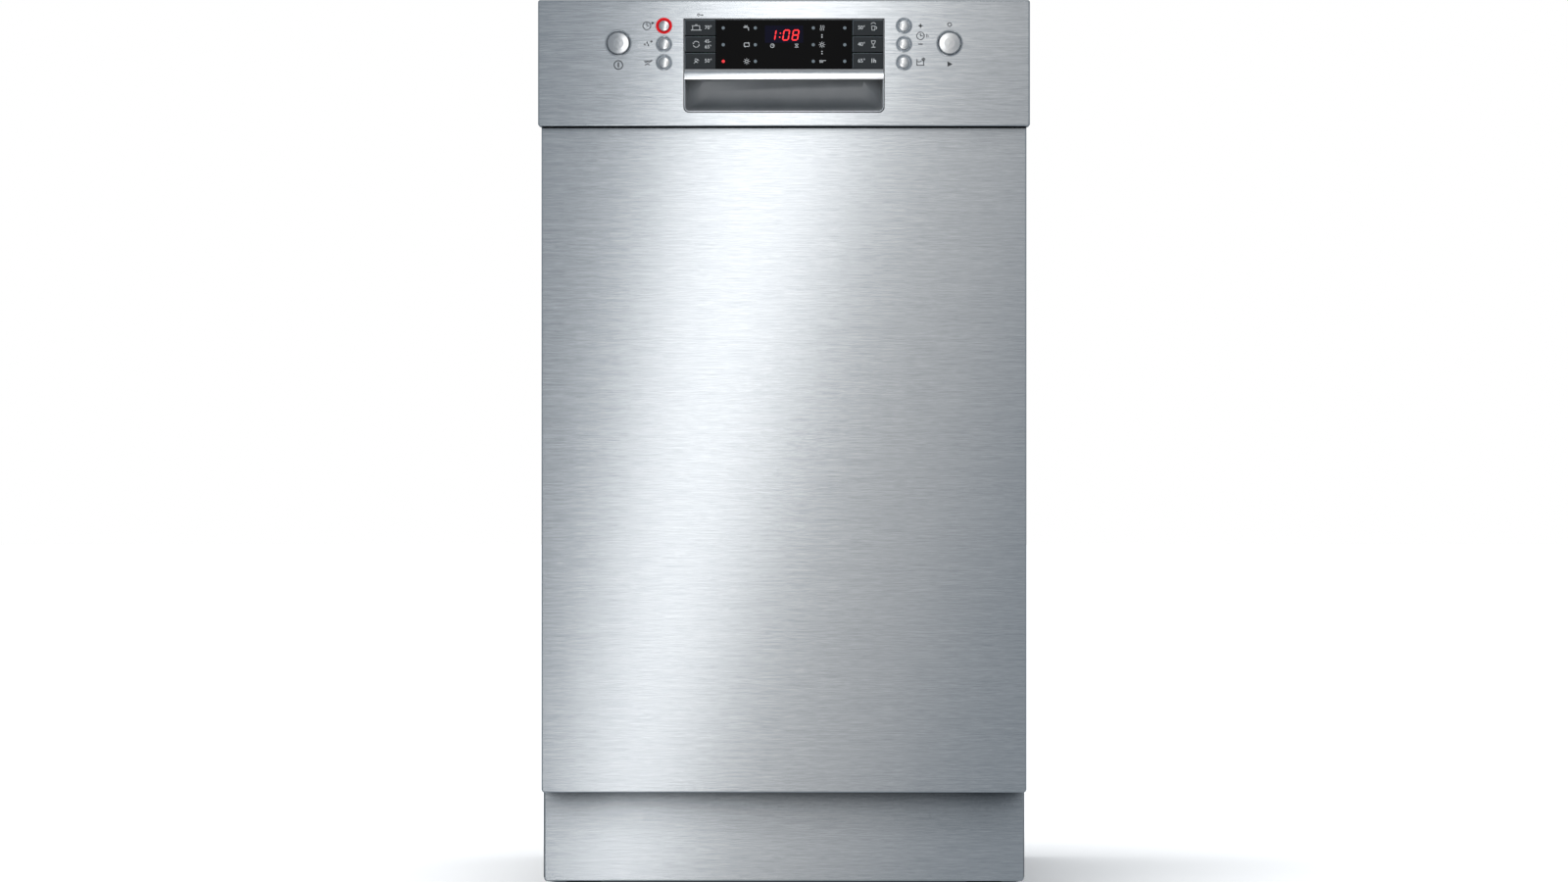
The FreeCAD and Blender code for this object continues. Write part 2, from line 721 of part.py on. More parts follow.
def side_panels():
    """The two outer side sheets, each with a pair of cabinet fixing holes and a stamped field."""
    for side, sign in (("left", -1), ("right", 1)):
        label = f"side_panel_{side}"
        piece = Piece(label)
        outer = HALF - 1
        xs = sorted(((outer - d.panel_skin) * sign, outer * sign), key=float)
        zs = (d.base_top_z - 6, d.body_height - 3)
        ys = (d.tub_y + 7, d.back_y)
        piece.pad("YZ", xs, rectangle(ys, zs))
        wall = sorted(((outer - 14) * sign, (outer - d.panel_skin) * sign), key=float)
        fold = rectangle((d.back_y - d.panel_skin, d.back_y), zs)
        piece.pad("YZ", wall, fold)
        rise = sorted((outer * sign, (outer + 1) * sign), key=float)
        fields = [rectangle((y, y + 150), (150, 720)) for y in (-150, 50)]
        piece.pad("YZ", rise, *fields)
        piece.round(0.9, at_plane("X", float(rise[0] if sign < 0 else rise[1])))
        holes = [circle((d.tub_y + 24, z), 2.5) for z in (300, 700)]
        piece.pocket("YZ", sorted(((outer - 3) * sign, (outer + 2) * sign), key=float), *holes)
        keep(piece.body, label)


def rear_panel():
    """The back sheet above the connections, with stamped stiffening ribs."""
    piece = Piece("rear_panel")
    half = HALF - 15.2
    ys = (d.back_y - 2, d.back_y - 2 + d.panel_skin)
    piece.pad("XZ", ys, rectangle(both(half), (132, d.body_height - 4)))
    ribs = [rectangle(both(half - 30), (z, z + 24)) for z in (190, 330, 470, 610, 730)]
    piece.pad("XZ", (ys[1], ys[1] + 1.1), *ribs)
    piece.round(1, at_plane("Y", ys[1] + 1.1))
    keep(piece.body, "rear_panel")


def top_plate():
    """The sheet over the tub, folded down at the sides, with three shallow ribs."""
    piece = Piece("top_plate")
    half = SIDE_IN - 0.3
    top = d.body_height - 3
    ys = (-195, d.back_y - 3)
    piece.pad("XY", (top - 12, top), rectangle(both(half), ys))
    piece.hollow(d.panel_skin, at_plane("Z", top - 12))
    piece.pad("XY", (top, top + 1), *[rectangle(both(150), (y, y + 22)) for y in (-120, 20, 160)])
    piece.round(0.9, at_plane("Z", top + 1))
    keep(piece.body, "top_plate")


def front_cross_rail():
    """The folded rail above the tub: it carries the latch strike and the two worktop fixing tabs."""
    top, skin = d.rail_top_z, 1.5
    front = d.tub_y + 1.5
    wall = box(both(SIDE_IN - 0.3), (front, front + skin), (783, top))
    cap = box(both(SIDE_IN - 0.3), (front, -196), (top - skin, top))
    strike = box(both(12), (-250, front), (d.liner_top_z - 9, d.liner_top_z - 7))
    window = box(both(8), (-246.5, -237.5), (d.liner_top_z - 12, d.liner_top_z - 4))
    parts = [wall, cap, cut(strike, window)]
    holes = []
    for x in (-d.bracket_x, d.bracket_x):
        parts.append(box((x - 16, x + 16), (front + 4, -196), (top, d.body_height)))
        spot = (x, d.bracket_hole_y)
        holes.append(rod("Z", d.bracket_hole_radius, spot, (top - 3, d.body_height + 1)))
    keep(cut(fuse(*parts), *holes), "front_cross_rail")


def base_tray():
    """The moulded floor tray: it holds the pumps, guides the feet and carries the rear connections."""
    half, wall = d.base_half_width, d.base_wall
    low, top, front, back = d.base_z + wall, d.base_top_z, d.base_y, d.base_back_y
    zs = (low, top)

    def stem_bore(spot):
        return rod("Z", d.stem_radius + 0.08, spot, (d.base_z - 1, 61))

    floor = box(both(half), (front, back), (d.base_z, low))
    solids = [cut(floor, *[stem_bore(spot) for spot in foot_places()])]
    solids += [cut(rod("Z", 10, spot, (low, 60)), stem_bore(spot)) for spot in foot_places()]
    solids += [box(xs, (front, back), zs) for xs in ((-half, wall - half), (half - wall, half))]
    ports = [rod("Y", 4, (x, d.hinge_z + 10), (front - 1, front + wall + 1)) for x in (-208, 208)]
    solids.append(cut(box(both(half - wall), (front, front + wall), zs), *ports))
    spigot_at, spigot_radius = (d.drain_x, d.rear_pipe_z), d.drain_radius
    spigot_bore = rod("Y", spigot_radius - 2, spigot_at, (back - wall - 1, d.back_y))
    inlet = rod("Y", d.inlet_radius + 4.2, (d.inlet_x, d.rear_pipe_z), (back - wall - 1, back + 1))
    socket = box((28.8, 61.2), (back - wall - 1, back + 1), (59.8, 84.2))
    solids.append(cut(box(both(half - wall), (back - wall, back), zs), spigot_bore, inlet, socket))
    solids.append(cut(rod("Y", spigot_radius, spigot_at, (back, d.back_y - 2)), spigot_bore))
    solids += [box((x - 10, x + 10), (210, 230), (low, d.tub_floor_z - d.tub_skin)) for x in (-190, 190)]
    keep(group(*solids), "base_tray")


def plinth_panel():
    """The toe-kick sheet, folded back along both sides and its top."""
    piece = Piece("plinth_panel")
    ys = (d.plinth_y, d.plinth_y + 11)
    piece.pad("XZ", ys, rectangle(both(d.plinth_width / 2), (d.plinth_base_z, d.plinth_top_z)))
    piece.round(2.5, lambda e: along("Y")(e) and e.BoundBox.ZMax < 20)
    piece.round(1.2, at_plane("Y", ys[0]))
    piece.hollow(d.door_skin, at_plane("Y", ys[1]))
    keep(piece.body, "plinth_panel")


def hinge_brackets():
    """The steel tongues screwed to the tray's front, each with the pin that its arm turns on."""
    inner = d.liner_width / 2 + 4.2
    xs = (inner, inner + 3)
    y, z = d.hinge_y, d.hinge_z
    tongue = box(xs, (y, d.base_y), (z - 11, z + 11))
    nose = rod("X", 11, (y, z), xs)
    foot = box((190, xs[1]), (d.base_y - 2.5, d.base_y), (z - 11, z))
    pin = rod("X", d.hinge_pin_radius, (y, z), (d.liner_width / 2 + 0.1, xs[1]))
    keep(pair(fuse(tongue, nose, foot, pin)), "hinge_brackets")


def door_springs():
    """The two extension springs that balance the door, hooked on the arms' pegs and the tray."""
    x, z, wire = 208, float(d.hinge_z) + 10, 0.9
    start, coils, pitch = -188.0, 36, 3.4
    ends = (start, start + coils * pitch)
    edges = [Part.LineSegment(V(x, ends[1], z + 5), V(x, ends[0], z + 5)).toShape()]
    edges.append(Part.LineSegment(V(x, ends[0], z + 5), V(x, ends[0], z + 6)).toShape())
    for i in range(coils):
        low = start + i * pitch
        arc = Part.Arc(V(x, low, z + 6), V(x, low + pitch / 2, z + 7.4), V(x, low + pitch, z + 6))
        edges.append(arc.toShape())
    edges.append(Part.LineSegment(V(x, ends[1], z + 6), V(x, ends[1], z + 5)).toShape())
    coil = Part.Face(Part.Wire(edges)).revolve(V(x, 0, z), V(0, 1, 0), 360)
    peg_y = float(d.hinge_y) + 30
    front_wire = Part.makeCylinder(wire, ends[0] + 1 - peg_y - 3, V(x, peg_y + 3, z), V(0, 1, 0))
    loop = Part.makeTorus(3.4, wire, V(x, peg_y, z), V(1, 0, 0))
    caps = [Part.makeCylinder(6.2, 1.6, V(x, y, z), V(0, 1, 0)) for y in (ends[0], ends[1] - 1.6)]
    rear_wire = Part.makeCylinder(wire, 12, V(x, ends[1] - 1, z), V(0, 1, 0))
    spring = coil.fuse([front_wire, loop, rear_wire, *caps])
    keep(pair(fixed(spring.removeSplitter())), "door_springs")


def rack_rails():
    """The channels on the tub's side walls that the upper rack's runners slide in."""
    wall = d.tub_width / 2
    z = d.rail_z
    outer = box((wall - 12, wall - 0.1), (d.tub_y + 8, d.tub_back_y - 25), (z - 9, z + 9))
    slot = box((wall - 13, wall - 10), (d.tub_y, d.tub_back_y), (z - 4.5, z + 4.5))
    inside = box((wall - 10.6, wall - 1.5), (d.tub_y, d.tub_back_y - 27), (z - 7.5, z + 7.5))
    keep(pair(cut(outer, slot, inside)), "rack_rails")


# ---- feet ------------------------------------------------------------------------------------------------


def foot_places():
    return [(-d.foot_x, d.foot_y), (d.foot_x, d.foot_y), (0, d.rear_foot_y)]


def feet():
    """Three adjustable feet, each a pad on a stem that screws into the tray."""
    for label, spot in zip(("foot_front_left", "foot_front_right", "foot_rear"), foot_places()):
        pad, height = d.foot_pad_radius, d.foot_pad_height
        profile = [
            (0, 0), (pad - 1, 0), (pad, 1), (pad, height - 3), (pad - 6, height),
            (d.stem_radius, height), (d.stem_radius, d.stem_top_z - 1), (d.stem_radius - 1, d.stem_top_z),
            (0, d.stem_top_z),
        ]
        piece = Piece(label).spin(profile)
        place(piece.body, (*spot, 0))
        keep(piece.body, label)


# ---- wash system -----------------------------------------------------------------------------------------


def sump():
    """The pot under the tub, with the spray arm's post and the outlets to both pumps."""
    radius, wall, base = d.sump_radius, d.sump_wall, d.sump_base_z
    top = d.tub_floor_z - d.tub_skin
    spot = (0, d.sump_y)
    pot = rod("Z", radius, spot, (base, top))
    flange = rod("Z", radius + 12, spot, (top - 3, top))
    inside = rod("Z", radius - wall, spot, (base + wall, top + 1))
    post = rod("Z", d.post_radius, spot, (base, d.lower_arm_z + 10))
    bore = rod("Z", d.post_radius - 3, spot, (base + wall, d.lower_arm_z + 11))
    at = (d.sump_y, d.pipe_z)
    outlet = rod("X", 13, at, (radius - 6, 96))
    drain = rod("X", 10, at, (-98, -(radius - 6)))
    bores = [rod("X", 10.5, at, (radius - 12, 97)), rod("X", 7.5, at, (-99, -(radius - 12)))]
    shell = fuse(cut(fuse(pot, flange, outlet, drain), inside), post)
    whole = cut(shell, bore, *bores)
    keep(diced(whole, both(45), (d.sump_y - 45, d.sump_y + 45), [base + wall]), "sump")


def fine_filter():
    """The flat strainer plate that lies on the tub floor round the micro filter."""
    piece = Piece("fine_filter")
    zs = (d.tub_floor_z, d.tub_floor_z + 1.2)
    piece.pad("XY", zs, rectangle(both(112), (d.sump_y - 92, d.sump_y + 92)))
    piece.round(30, along("Z"))
    piece.pocket(
        "XY",
        (d.tub_floor_z - 1, zs[1] + 1),
        circle((0, d.sump_y), d.post_radius + 0.5),
        circle((d.filter_x, d.filter_y), d.filter_radius + 0.5),
    )
    keep(piece.body, "fine_filter")


def micro_filter():
    """The removable filter cartridge, which turns to unlock."""
    radius = d.filter_radius
    piece = Piece("micro_filter")
    piece.spin([
        (radius - 2.5, -70), (radius, -70), (radius, 1.6), (radius + 3, 1.6), (radius + 3, 5),
        (radius - 1, 8), (0, 8), (0, 5.5), (radius - 2.5, 5.5),
    ])
    piece.pad("XY", (7.5, 19), rectangle(both(24), both(3)))
    piece.round(2, at_plane("Z", 19))
    place(piece.body, (d.filter_x, d.filter_y, d.tub_floor_z))
    keep(piece.body, "micro_filter")


def salt_cap():
    piece = Piece("salt_cap")
    radius = d.salt_radius + 2
    piece.spin([(0, 0), (radius, 0), (radius, 9), (radius - 2, 11), (0, 11)])
    piece.pad("XY", (11, 19), rectangle(both(20), both(3.5)))
    piece.round(1.5, at_plane("Z", 19))
    place(piece.body, (d.salt_x, d.salt_y, d.tub_floor_z + 0.3))
    keep(piece.body, "salt_cap")


def water_softener():
    """The resin and salt container, whose filler neck comes up through the tub floor."""
    block = box((-212, -120), (62, 198), (18, 124))
    neck = rod("Z", d.salt_radius, (d.salt_x, d.salt_y), (120, d.tub_floor_z + 0.2))
    mouth = rod("Z", d.salt_radius - 3, (d.salt_x, d.salt_y), (100, d.tub_floor_z + 1))
    shaped = rounded(block, 8, along("Z"))
    keep(cut(fuse(shaped, neck), mouth), "water_softener")


def circulation_pump():
    """The wash pump and motor with its delivery pipe to the foot of the feed tube."""
    at = (d.sump_y, d.pipe_z)
    volute = rod("X", 40, at, (96, 124))
    motor = rod("X", 36, at, (124, 204))
    ribs = [rod("X", 38.5, at, (x, x + 3)) for x in (132, 146, 160, 174, 188)]
    z = d.pipe_z
    run = [(110, 45, z), (110, d.feed_hole_y, z), (0, d.feed_hole_y, z), (0, d.feed_hole_y, 120)]
    keep(fuse(volute, motor, *ribs, fixed(pipe(run, 10, 22))), "circulation_pump")


def drain_pump():
    at = (d.sump_y, d.pipe_z)
    housing = rod("X", 27, at, (-128, -98))
    motor = rod("X", 20, at, (-168, -128))
    outlet = rod("Y", 8, (d.drain_x, d.pipe_z), (d.sump_y + 20, d.base_back_y - d.base_wall - 0.2))
    keep(fuse(housing, motor, outlet), "drain_pump")


def feed_tube():
    """The pipe up the back wall that feeds the upper arm and the top shower."""
    y, z = d.feed_y, d.manifold_z
    top, ends = d.tub_top_z - 12, (120, 757)
    floor_run = d.tub_floor_z + 11
    run = [
        (0, d.feed_hole_y, ends[0]), (0, d.feed_hole_y, floor_run), (0, y, floor_run),
        (0, y, top), (0, d.sump_y, top), (0, d.sump_y, ends[1]),
    ]
    dock = rod("Y", 11.5, (0, z), (235, 250))
    whole = fuse(fixed(pipe(run, d.feed_radius, 10)), dock)
    runs_y = (d.sump_y + 12, d.feed_hole_y + 12, y - 12)
    keep(diced(whole, (), runs_y, (floor_run + 12, top - 12)), "feed_tube")


def top_shower_head():
    piece = Piece("top_shower_head")
    piece.spin([(0, 0), (34, 0), (38, 2), (38, 5), (14, 9), (0, 9)])
    piece.pocket("XY", (-1, 3), circle((24, 0), 1.6)).around("Z", 10)
    place(piece.body, (0, d.sump_y, 748))
    keep(piece.body, "top_shower_head")


def spray_arm(label, radius, bore, hub_height):
    """A two-bladed arm about its own Z axis, swept back slightly, with a row of nozzles along each blade."""
    thickness = d.arm_thickness
    root, tip = 23, 13
    reach = radius - 6
    piece = Piece(label)
    outline = [
        (reach, -tip - 3), (radius, -tip + 4), (radius, tip - 6), (reach, tip), (60, root - 3), (0, root + 4),
        (-60, root), (-reach, tip + 3), (-radius, tip - 4), (-radius, -tip + 6), (-reach, -tip),
        (-60, -root + 3), (0, -root - 4), (60, -root),
    ]
    piece.pad("XY", (0, thickness), polygon(outline))
    piece.round(4, at_plane("Z", thickness))
    piece.round(2.5, at_plane("Z", 0))
    piece.pad("XY", (-hub_height if bore else 0, thickness + 3), circle((0, 0), 21))
    if bore:
        piece.pocket("XY", (-hub_height - 1, thickness), circle((0, 0), bore))
    holes = [circle((sign * x, 2 * sign), 1.8) for sign in (-1, 1) for x in (48, 84, 118, 148)]
    piece.pocket("XY", (thickness - 2, thickness + 1), *holes)
    return piece


def spray_arms():
    lower = spray_arm("lower_spray_arm", d.lower_arm_radius, d.post_radius + 0.5, 0.5)
    place(lower.body, (0, d.sump_y, d.lower_arm_z))
    keep(lower.body, "lower_spray_arm")
    upper = spray_arm("upper_spray_arm", d.upper_arm_radius, 0, 0)
    place(upper.body, (0, d.sump_y, d.upper_arm_z))
    keep(upper.body, "upper_spray_arm")


def upper_arm_manifold():
    """The tube under the upper rack, from its docking funnel at the back to the upper arm's hub."""
    z, y = d.manifold_z, d.sump_y
    tube = rod("Y", d.feed_radius, (0, z), (y, 226))
    funnel = rod("Y", 11.5, (0, z), (214, 234))
    hub = rod("Z", 15, (0, y), (d.upper_arm_z + d.arm_thickness + 3.4, d.upper_rack_z))
    keep(fuse(tube, funnel, hub), "upper_arm_manifold")


def inlet_valve():
    """The water inlet valve behind the tray's back wall, with its threaded hose connection."""
    at = (d.inlet_x, d.rear_pipe_z)
    thread = rod("Y", d.inlet_radius, at, (d.base_back_y + 3, d.back_y - 2))
    collar = rod("Y", 20, at, (d.base_back_y, d.base_back_y + 3))
    neck = rod("Y", d.inlet_radius + 4, at, (d.base_back_y - 12, d.base_back_y))
    body = box((d.inlet_x - 20, d.inlet_x + 20), (215, d.base_back_y - 12), (50, 98))
    bore = rod("Y", d.inlet_radius - 3.4, at, (d.base_back_y - 6, d.back_y))
    keep(cut(fuse(thread, collar, neck, body), bore), "inlet_valve")


def power_inlet():
    """The appliance inlet on the tray's back wall, with its three blades in a recess."""
    ys = (d.base_back_y - 14, d.base_back_y + 3)
    body = box((29, 61), ys, (60, 84))
    flange = box((20, 70), (d.base_back_y, d.base_back_y + 3), (56, 88))
    recess = box((33, 57), (d.base_back_y - 11, d.base_back_y + 4), (64, 80))
    blades = [box((x - 1, x + 1), (ys[0], d.base_back_y + 1), (69, 75)) for x in (38, 45, 52)]
    keep(fuse(cut(fuse(body, flange), recess), *blades), "power_inlet")


# ---- racks -----------------------------------------------------------------------------------------------


def grid(xs, ys, zs, counts):
    """A flat plate of crossed bars. counts gives the gaps along each axis, with 0 for the way they go through."""
    bar = float(d.wire)
    spans = []
    for (low, high), count in zip((xs, ys, zs), counts):
        low, high = float(low), float(high)
        if count == 0:
            spans.append([(low - 1, high + 1)])
            continue
        pitch = (high - low - bar) / count
        spans.append([(low + bar + i * pitch, low + (i + 1) * pitch) for i in range(count)])
    gaps = []
    for (x0, x1), (y0, y1), (z0, z1) in itertools.product(*spans):
        gaps.append(Part.makeBox(x1 - x0, y1 - y0, z1 - z0, V(x0, y0, z0)))
    return cut(box(xs, ys, zs), fixed(Part.makeCompound(gaps), "Gaps"))


def wire_basket(half, zs, counts):
    """The flat grids of an open-topped basket: its floor and four walls. counts gives the gaps along X, Y and Z."""
    bar, (nx, ny, nz) = d.wire, counts
    front, back = d.rack_y, d.rack_back_y
    low, high = zs[0] + bar, zs[1]
    grids = [grid(both(half), (front, back), (zs[0], low), (nx, ny, 0))]
    for ys in ((front, front + bar), (back - bar, back)):
        grids.append(grid(both(half), ys, (low, high), (nx, 0, nz)))
    for xs in ((-half, bar - half), (half - bar, half)):
        grids.append(grid(xs, (front + bar, back - bar), (low, high), (0, ny, nz)))
    return grids


def lower_rack():
    """The lower rack, with the plates and pins that carry its wheels."""
    solids = wire_basket(d.lower_rack_half_width, (d.lower_rack_z, d.lower_rack_top_z), (9, 10, 3))
    plate = (d.wheel_x - 6, d.wheel_x - 2)
    for y in (d.wheel_front_y, d.wheel_back_y):
        leg = box(plate, (y - 9, y + 9), (d.wheel_z - 8, d.lower_rack_z))
        pin = rod("X", 3, (y, d.wheel_z), (plate[1], d.wheel_x + d.wheel_width))
        solids += [pair(leg), pair(pin)]
    keep(group(*solids), "lower_rack")


def rack_wheels():
    """The lower rack's wheels, one pair on each axle line."""
    for label, y in (("front_wheels", d.wheel_front_y), ("rear_wheels", d.wheel_back_y)):
        piece = Piece("Wheel")
        radius, width = d.wheel_radius, d.wheel_width
        piece.spin([
            (3.3, 0), (8, 0), (8, 1.5), (radius - 3, 1.5), (radius - 3, 0), (radius - 1, 0), (radius, 1),
            (radius, width - 1), (radius - 1, width), (3.3, width),
        ])
        piece.body.Placement = FreeCAD.Placement(V(), TURNS["X"])
        place(piece.body, (d.wheel_x, y, d.wheel_z))
        keep(pair(piece.body), label)


def upper_rack():
    """The upper rack, with the runners that slide in the tub's channels."""
    half = d.upper_rack_half_width
    solids = wire_basket(half, (d.upper_rack_z, d.upper_rack_top_z), (8, 10, 2))
    runner = box((half, d.tub_width / 2 - 4), (d.rack_y, d.rack_back_y), (d.rail_z - 3.5, d.rail_z + 3.5))
    keep(group(*solids, pair(runner)), "upper_rack")


def cutlery_basket():
    """The moulded basket of four cells with a carrying handle."""
    x0, y0 = d.basket_x, d.basket_y
    xs, ys = (x0, x0 + d.basket_width), (y0, y0 + d.basket_length)
    zs = (d.lower_rack_z + d.wire + 0.3, d.lower_rack_z + d.wire + 0.3 + d.basket_height)
    shell = box(xs, ys, zs)
    cells = []
    pitch = (d.basket_length - 2) / 4
    for i in range(4):
        cell = (y0 + 2 + pitch * i, y0 + pitch * (i + 1))
        cells.append(box((xs[0] + 2, xs[1] - 2), cell, (zs[0] + 2, zs[1] + 1)))
    middle = x0 + d.basket_width / 2
    lift = zs[1] + 42
    posts = [box((middle - 4, middle + 4), (y, y + 4), (zs[1] - 20, lift)) for y in (y0 + 62, y0 + 184)]
    grip = box((middle - 8, middle + 8), (y0 + 62, y0 + 188), (lift - 6, lift))
    keep(fuse(cut(shell, *cells), *posts, grip), "cutlery_basket")


# ---- build and write -------------------------------------------------------------------------------------


def main():
    makers = (
        fascia_panel, door_outer_panel, door_inner_liner, handle_pocket, display_window, programme_keys,
        round_buttons, button_bezels, control_board, hinge_arms, latch_catch, dispenser,
        tub, door_seal, side_panels, rear_panel, top_plate, front_cross_rail, base_tray, plinth_panel,
        hinge_brackets, door_springs, rack_rails, feet, sump, fine_filter, micro_filter, salt_cap,
        water_softener, circulation_pump, drain_pump, feed_tube, top_shower_head, spray_arms,
        upper_arm_manifold, inlet_valve, power_inlet, lower_rack, rack_wheels, upper_rack, cutlery_basket,
    )
    for make in makers:
        make()
    doc.recompute()
    bad = [o.Label for o in doc.Objects if "Invalid" in o.State or "Error" in o.State]
    for piece in pieces:
        shape = piece.Shape
        if shape.isNull() or not shape.isValid() or not shape.Solids:
            bad.append(piece.Label)
    if bad:
        raise RuntimeError(f"these objects failed: {sorted(set(bad))}")
    os.makedirs("parts", exist_ok=True)
    for piece in pieces:
        piece.Shape.exportStep(f"parts/{piece.Label}.step")
    print(len(pieces), "sub-parts written")


main()
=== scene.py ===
"""Looks for the slim built-in dishwasher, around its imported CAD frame.

Everything is in metres in the CAD frame: X to the right seen from the front, Y to the back, Z up. Small
drawings on the controls are given in millimetres from the middle of the node that they sit on.
"""

import json
import math

import bmesh
import bpy
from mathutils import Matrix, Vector


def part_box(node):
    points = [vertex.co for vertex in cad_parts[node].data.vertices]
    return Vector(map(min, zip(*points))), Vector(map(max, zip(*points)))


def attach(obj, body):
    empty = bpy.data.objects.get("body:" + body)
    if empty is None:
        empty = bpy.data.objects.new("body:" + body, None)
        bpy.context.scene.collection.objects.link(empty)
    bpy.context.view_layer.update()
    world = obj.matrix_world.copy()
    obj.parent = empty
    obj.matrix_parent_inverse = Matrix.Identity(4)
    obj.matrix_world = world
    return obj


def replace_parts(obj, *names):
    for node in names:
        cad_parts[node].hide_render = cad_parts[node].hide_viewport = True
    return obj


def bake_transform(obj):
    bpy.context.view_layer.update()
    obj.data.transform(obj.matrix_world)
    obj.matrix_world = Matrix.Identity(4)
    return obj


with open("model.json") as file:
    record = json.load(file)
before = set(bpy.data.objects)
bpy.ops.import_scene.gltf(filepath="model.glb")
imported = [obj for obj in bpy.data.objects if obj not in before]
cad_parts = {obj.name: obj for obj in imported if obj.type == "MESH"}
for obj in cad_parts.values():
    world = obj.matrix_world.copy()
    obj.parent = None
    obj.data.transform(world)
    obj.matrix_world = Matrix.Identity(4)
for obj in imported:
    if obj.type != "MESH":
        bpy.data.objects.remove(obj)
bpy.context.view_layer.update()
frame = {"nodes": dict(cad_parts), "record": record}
MM = 0.001
Y_AXIS, Z_AXIS = Vector((0, 1, 0)), Vector((0, 0, 1))


# ---- materials -------------------------------------------------------------------------------------------


class Shader:
    """A procedural material: one Principled shader and the textures that vary it."""

    def __init__(self, name, rough, metallic=0.0, **sockets):
        self.material = bpy.data.materials.new(name)
        self.material.use_nodes = True
        self.tree = self.material.node_tree
        self.principled = self.tree.nodes["Principled BSDF"]
        self.principled.inputs["Roughness"].default_value = rough
        self.principled.inputs["Metallic"].default_value = metallic
        for socket, value in sockets.items():
            self.principled.inputs[socket.replace("_", " ")].default_value = value
        self.place = self.add("ShaderNodeTexCoord").outputs["Object"]

    def add(self, kind, **settings):
        node = self.tree.nodes.new(kind)
        for name, value in settings.items():
            setattr(node, name, value)
        return node

    def link(self, source, node, socket):
        self.tree.links.new(source, node.inputs[socket])

    def stretched(self, scale):
        mapping = self.add("ShaderNodeMapping")
        mapping.inputs["Scale"].default_value = scale
        self.link(self.place, mapping, "Vector")
        return mapping.outputs["Vector"]

    def noise(self, scale, detail=4.0, rough=0.55, distortion=0.0):
        """Noise over object coordinates. scale is in cycles per metre, one number or one per axis."""
        if isinstance(scale, (int, float)):
            scale = (scale, scale, scale)
        noise = self.add("ShaderNodeTexNoise")
        noise.inputs["Scale"].default_value = 1.0
        noise.inputs["Detail"].default_value = detail
        noise.inputs["Roughness"].default_value = rough
        noise.inputs["Distortion"].default_value = distortion
        self.link(self.stretched(scale), noise, "Vector")
        return noise.outputs["Fac"]

    def cells(self, scale, feature="F1", output="Distance"):
        voronoi = self.add("ShaderNodeTexVoronoi", feature=feature)
        voronoi.inputs["Scale"].default_value = 1.0
        self.link(self.stretched((scale, scale, scale)), voronoi, "Vector")
        return voronoi.outputs[output]

    def ramp(self, source, *stops):
        """Maps 0..1 to grey levels or colours. stops are (position, value) pairs."""
        ramp = self.add("ShaderNodeValToRGB")
        self.link(source, ramp, "Fac")
        elements = ramp.color_ramp.elements
        while len(elements) < len(stops):
            elements.new(0.5)
        for element, (position, value) in zip(elements, stops):
            element.position = position
            element.color = value if len(value) == 4 else (*value, 1)
        return ramp.outputs["Color"]

    def mix(self, fac, a, b, kind="MIX"):
        mix = self.add("ShaderNodeMix", data_type="RGBA", blend_type=kind)
        for socket, value in ((0, fac), (6, a), (7, b)):
            if isinstance(value, bpy.types.NodeSocket):
                self.tree.links.new(value, mix.inputs[socket])
            else:
                mix.inputs[socket].default_value = value
        return mix.outputs[2]

    def colour(self, source):
        self.link(source, self.principled, "Base Color")
        return self

    def shades(self, source, dark, light, low=0.3, high=0.7):
        """Varies the base colour between two colours with a texture."""
        return self.colour(self.ramp(source, (low, dark), (high, light)))

    def recess(self, reach):
        """Painted shade: grey levels from ambient occlusion that fall towards inner corners and gaps, where
        less of the room is seen.
        """
        near = self.add("ShaderNodeAmbientOcclusion", samples=8)
        near.inputs["Distance"].default_value = reach
        dark, deep, shade, clear = (0.04, 0.05, 0.055), (0.13, 0.14, 0.15), (0.57, 0.58, 0.59), (1, 1, 1)
        return self.ramp(near.outputs["AO"], (0.5, dark), (0.62, deep), (0.77, shade), (0.93, clear))

    def roughness(self, source, low, high):
        spread = self.add("ShaderNodeMapRange")
        self.link(source, spread, "Value")
        spread.inputs["From Min"].default_value = 0.25
        spread.inputs["From Max"].default_value = 0.75
        spread.inputs["To Min"].default_value = low
        spread.inputs["To Max"].default_value = high
        self.link(spread.outputs["Result"], self.principled, "Roughness")
        return self

    def bump(self, source, strength, distance):
        bump = self.add("ShaderNodeBump")
        bump.inputs["Strength"].default_value = strength
        bump.inputs["Distance"].default_value = distance
        self.link(source, bump, "Height")
        self.link(bump.outputs["Normal"], self.principled, "Normal")
        return self


def brushed(name, dark, light, rough, along="X"):
    """Steel with fine brush lines along one axis and a slower drift under them, and painted shade that
    darkens its colour in inner corners and gaps.
    """
    made = Shader(name, rough, 1.0)

    def streak(length, width, detail):
        across, lengthwise = 1 / width, 1 / length
        scale = {"X": (lengthwise, across, across), "Z": (across, across, lengthwise)}[along]
        return made.noise(scale, detail)

    fine = streak(0.028, 0.0007, 3.0)
    broad = streak(0.12, 0.0035, 2.0)
    hair = streak(0.010, 0.0004, 2.0)
    blend = made.mix(0.25, fine, broad)
    blend = made.mix(0.4, blend, hair)
    steel = made.ramp(blend, (0.36, dark), (0.64, light))
    # painted shade: the occlusion grey multiplies the steel's colour, darkening it under the fascia and on
    # the plinth below the door
    made.colour(made.mix(1.0, steel, made.recess(0.06), "MULTIPLY"))
    made.roughness(blend, rough * 0.9, rough * 1.12)
    made.bump(made.mix(0.4, fine, hair), 0.08, 0.0002)
    return made.material


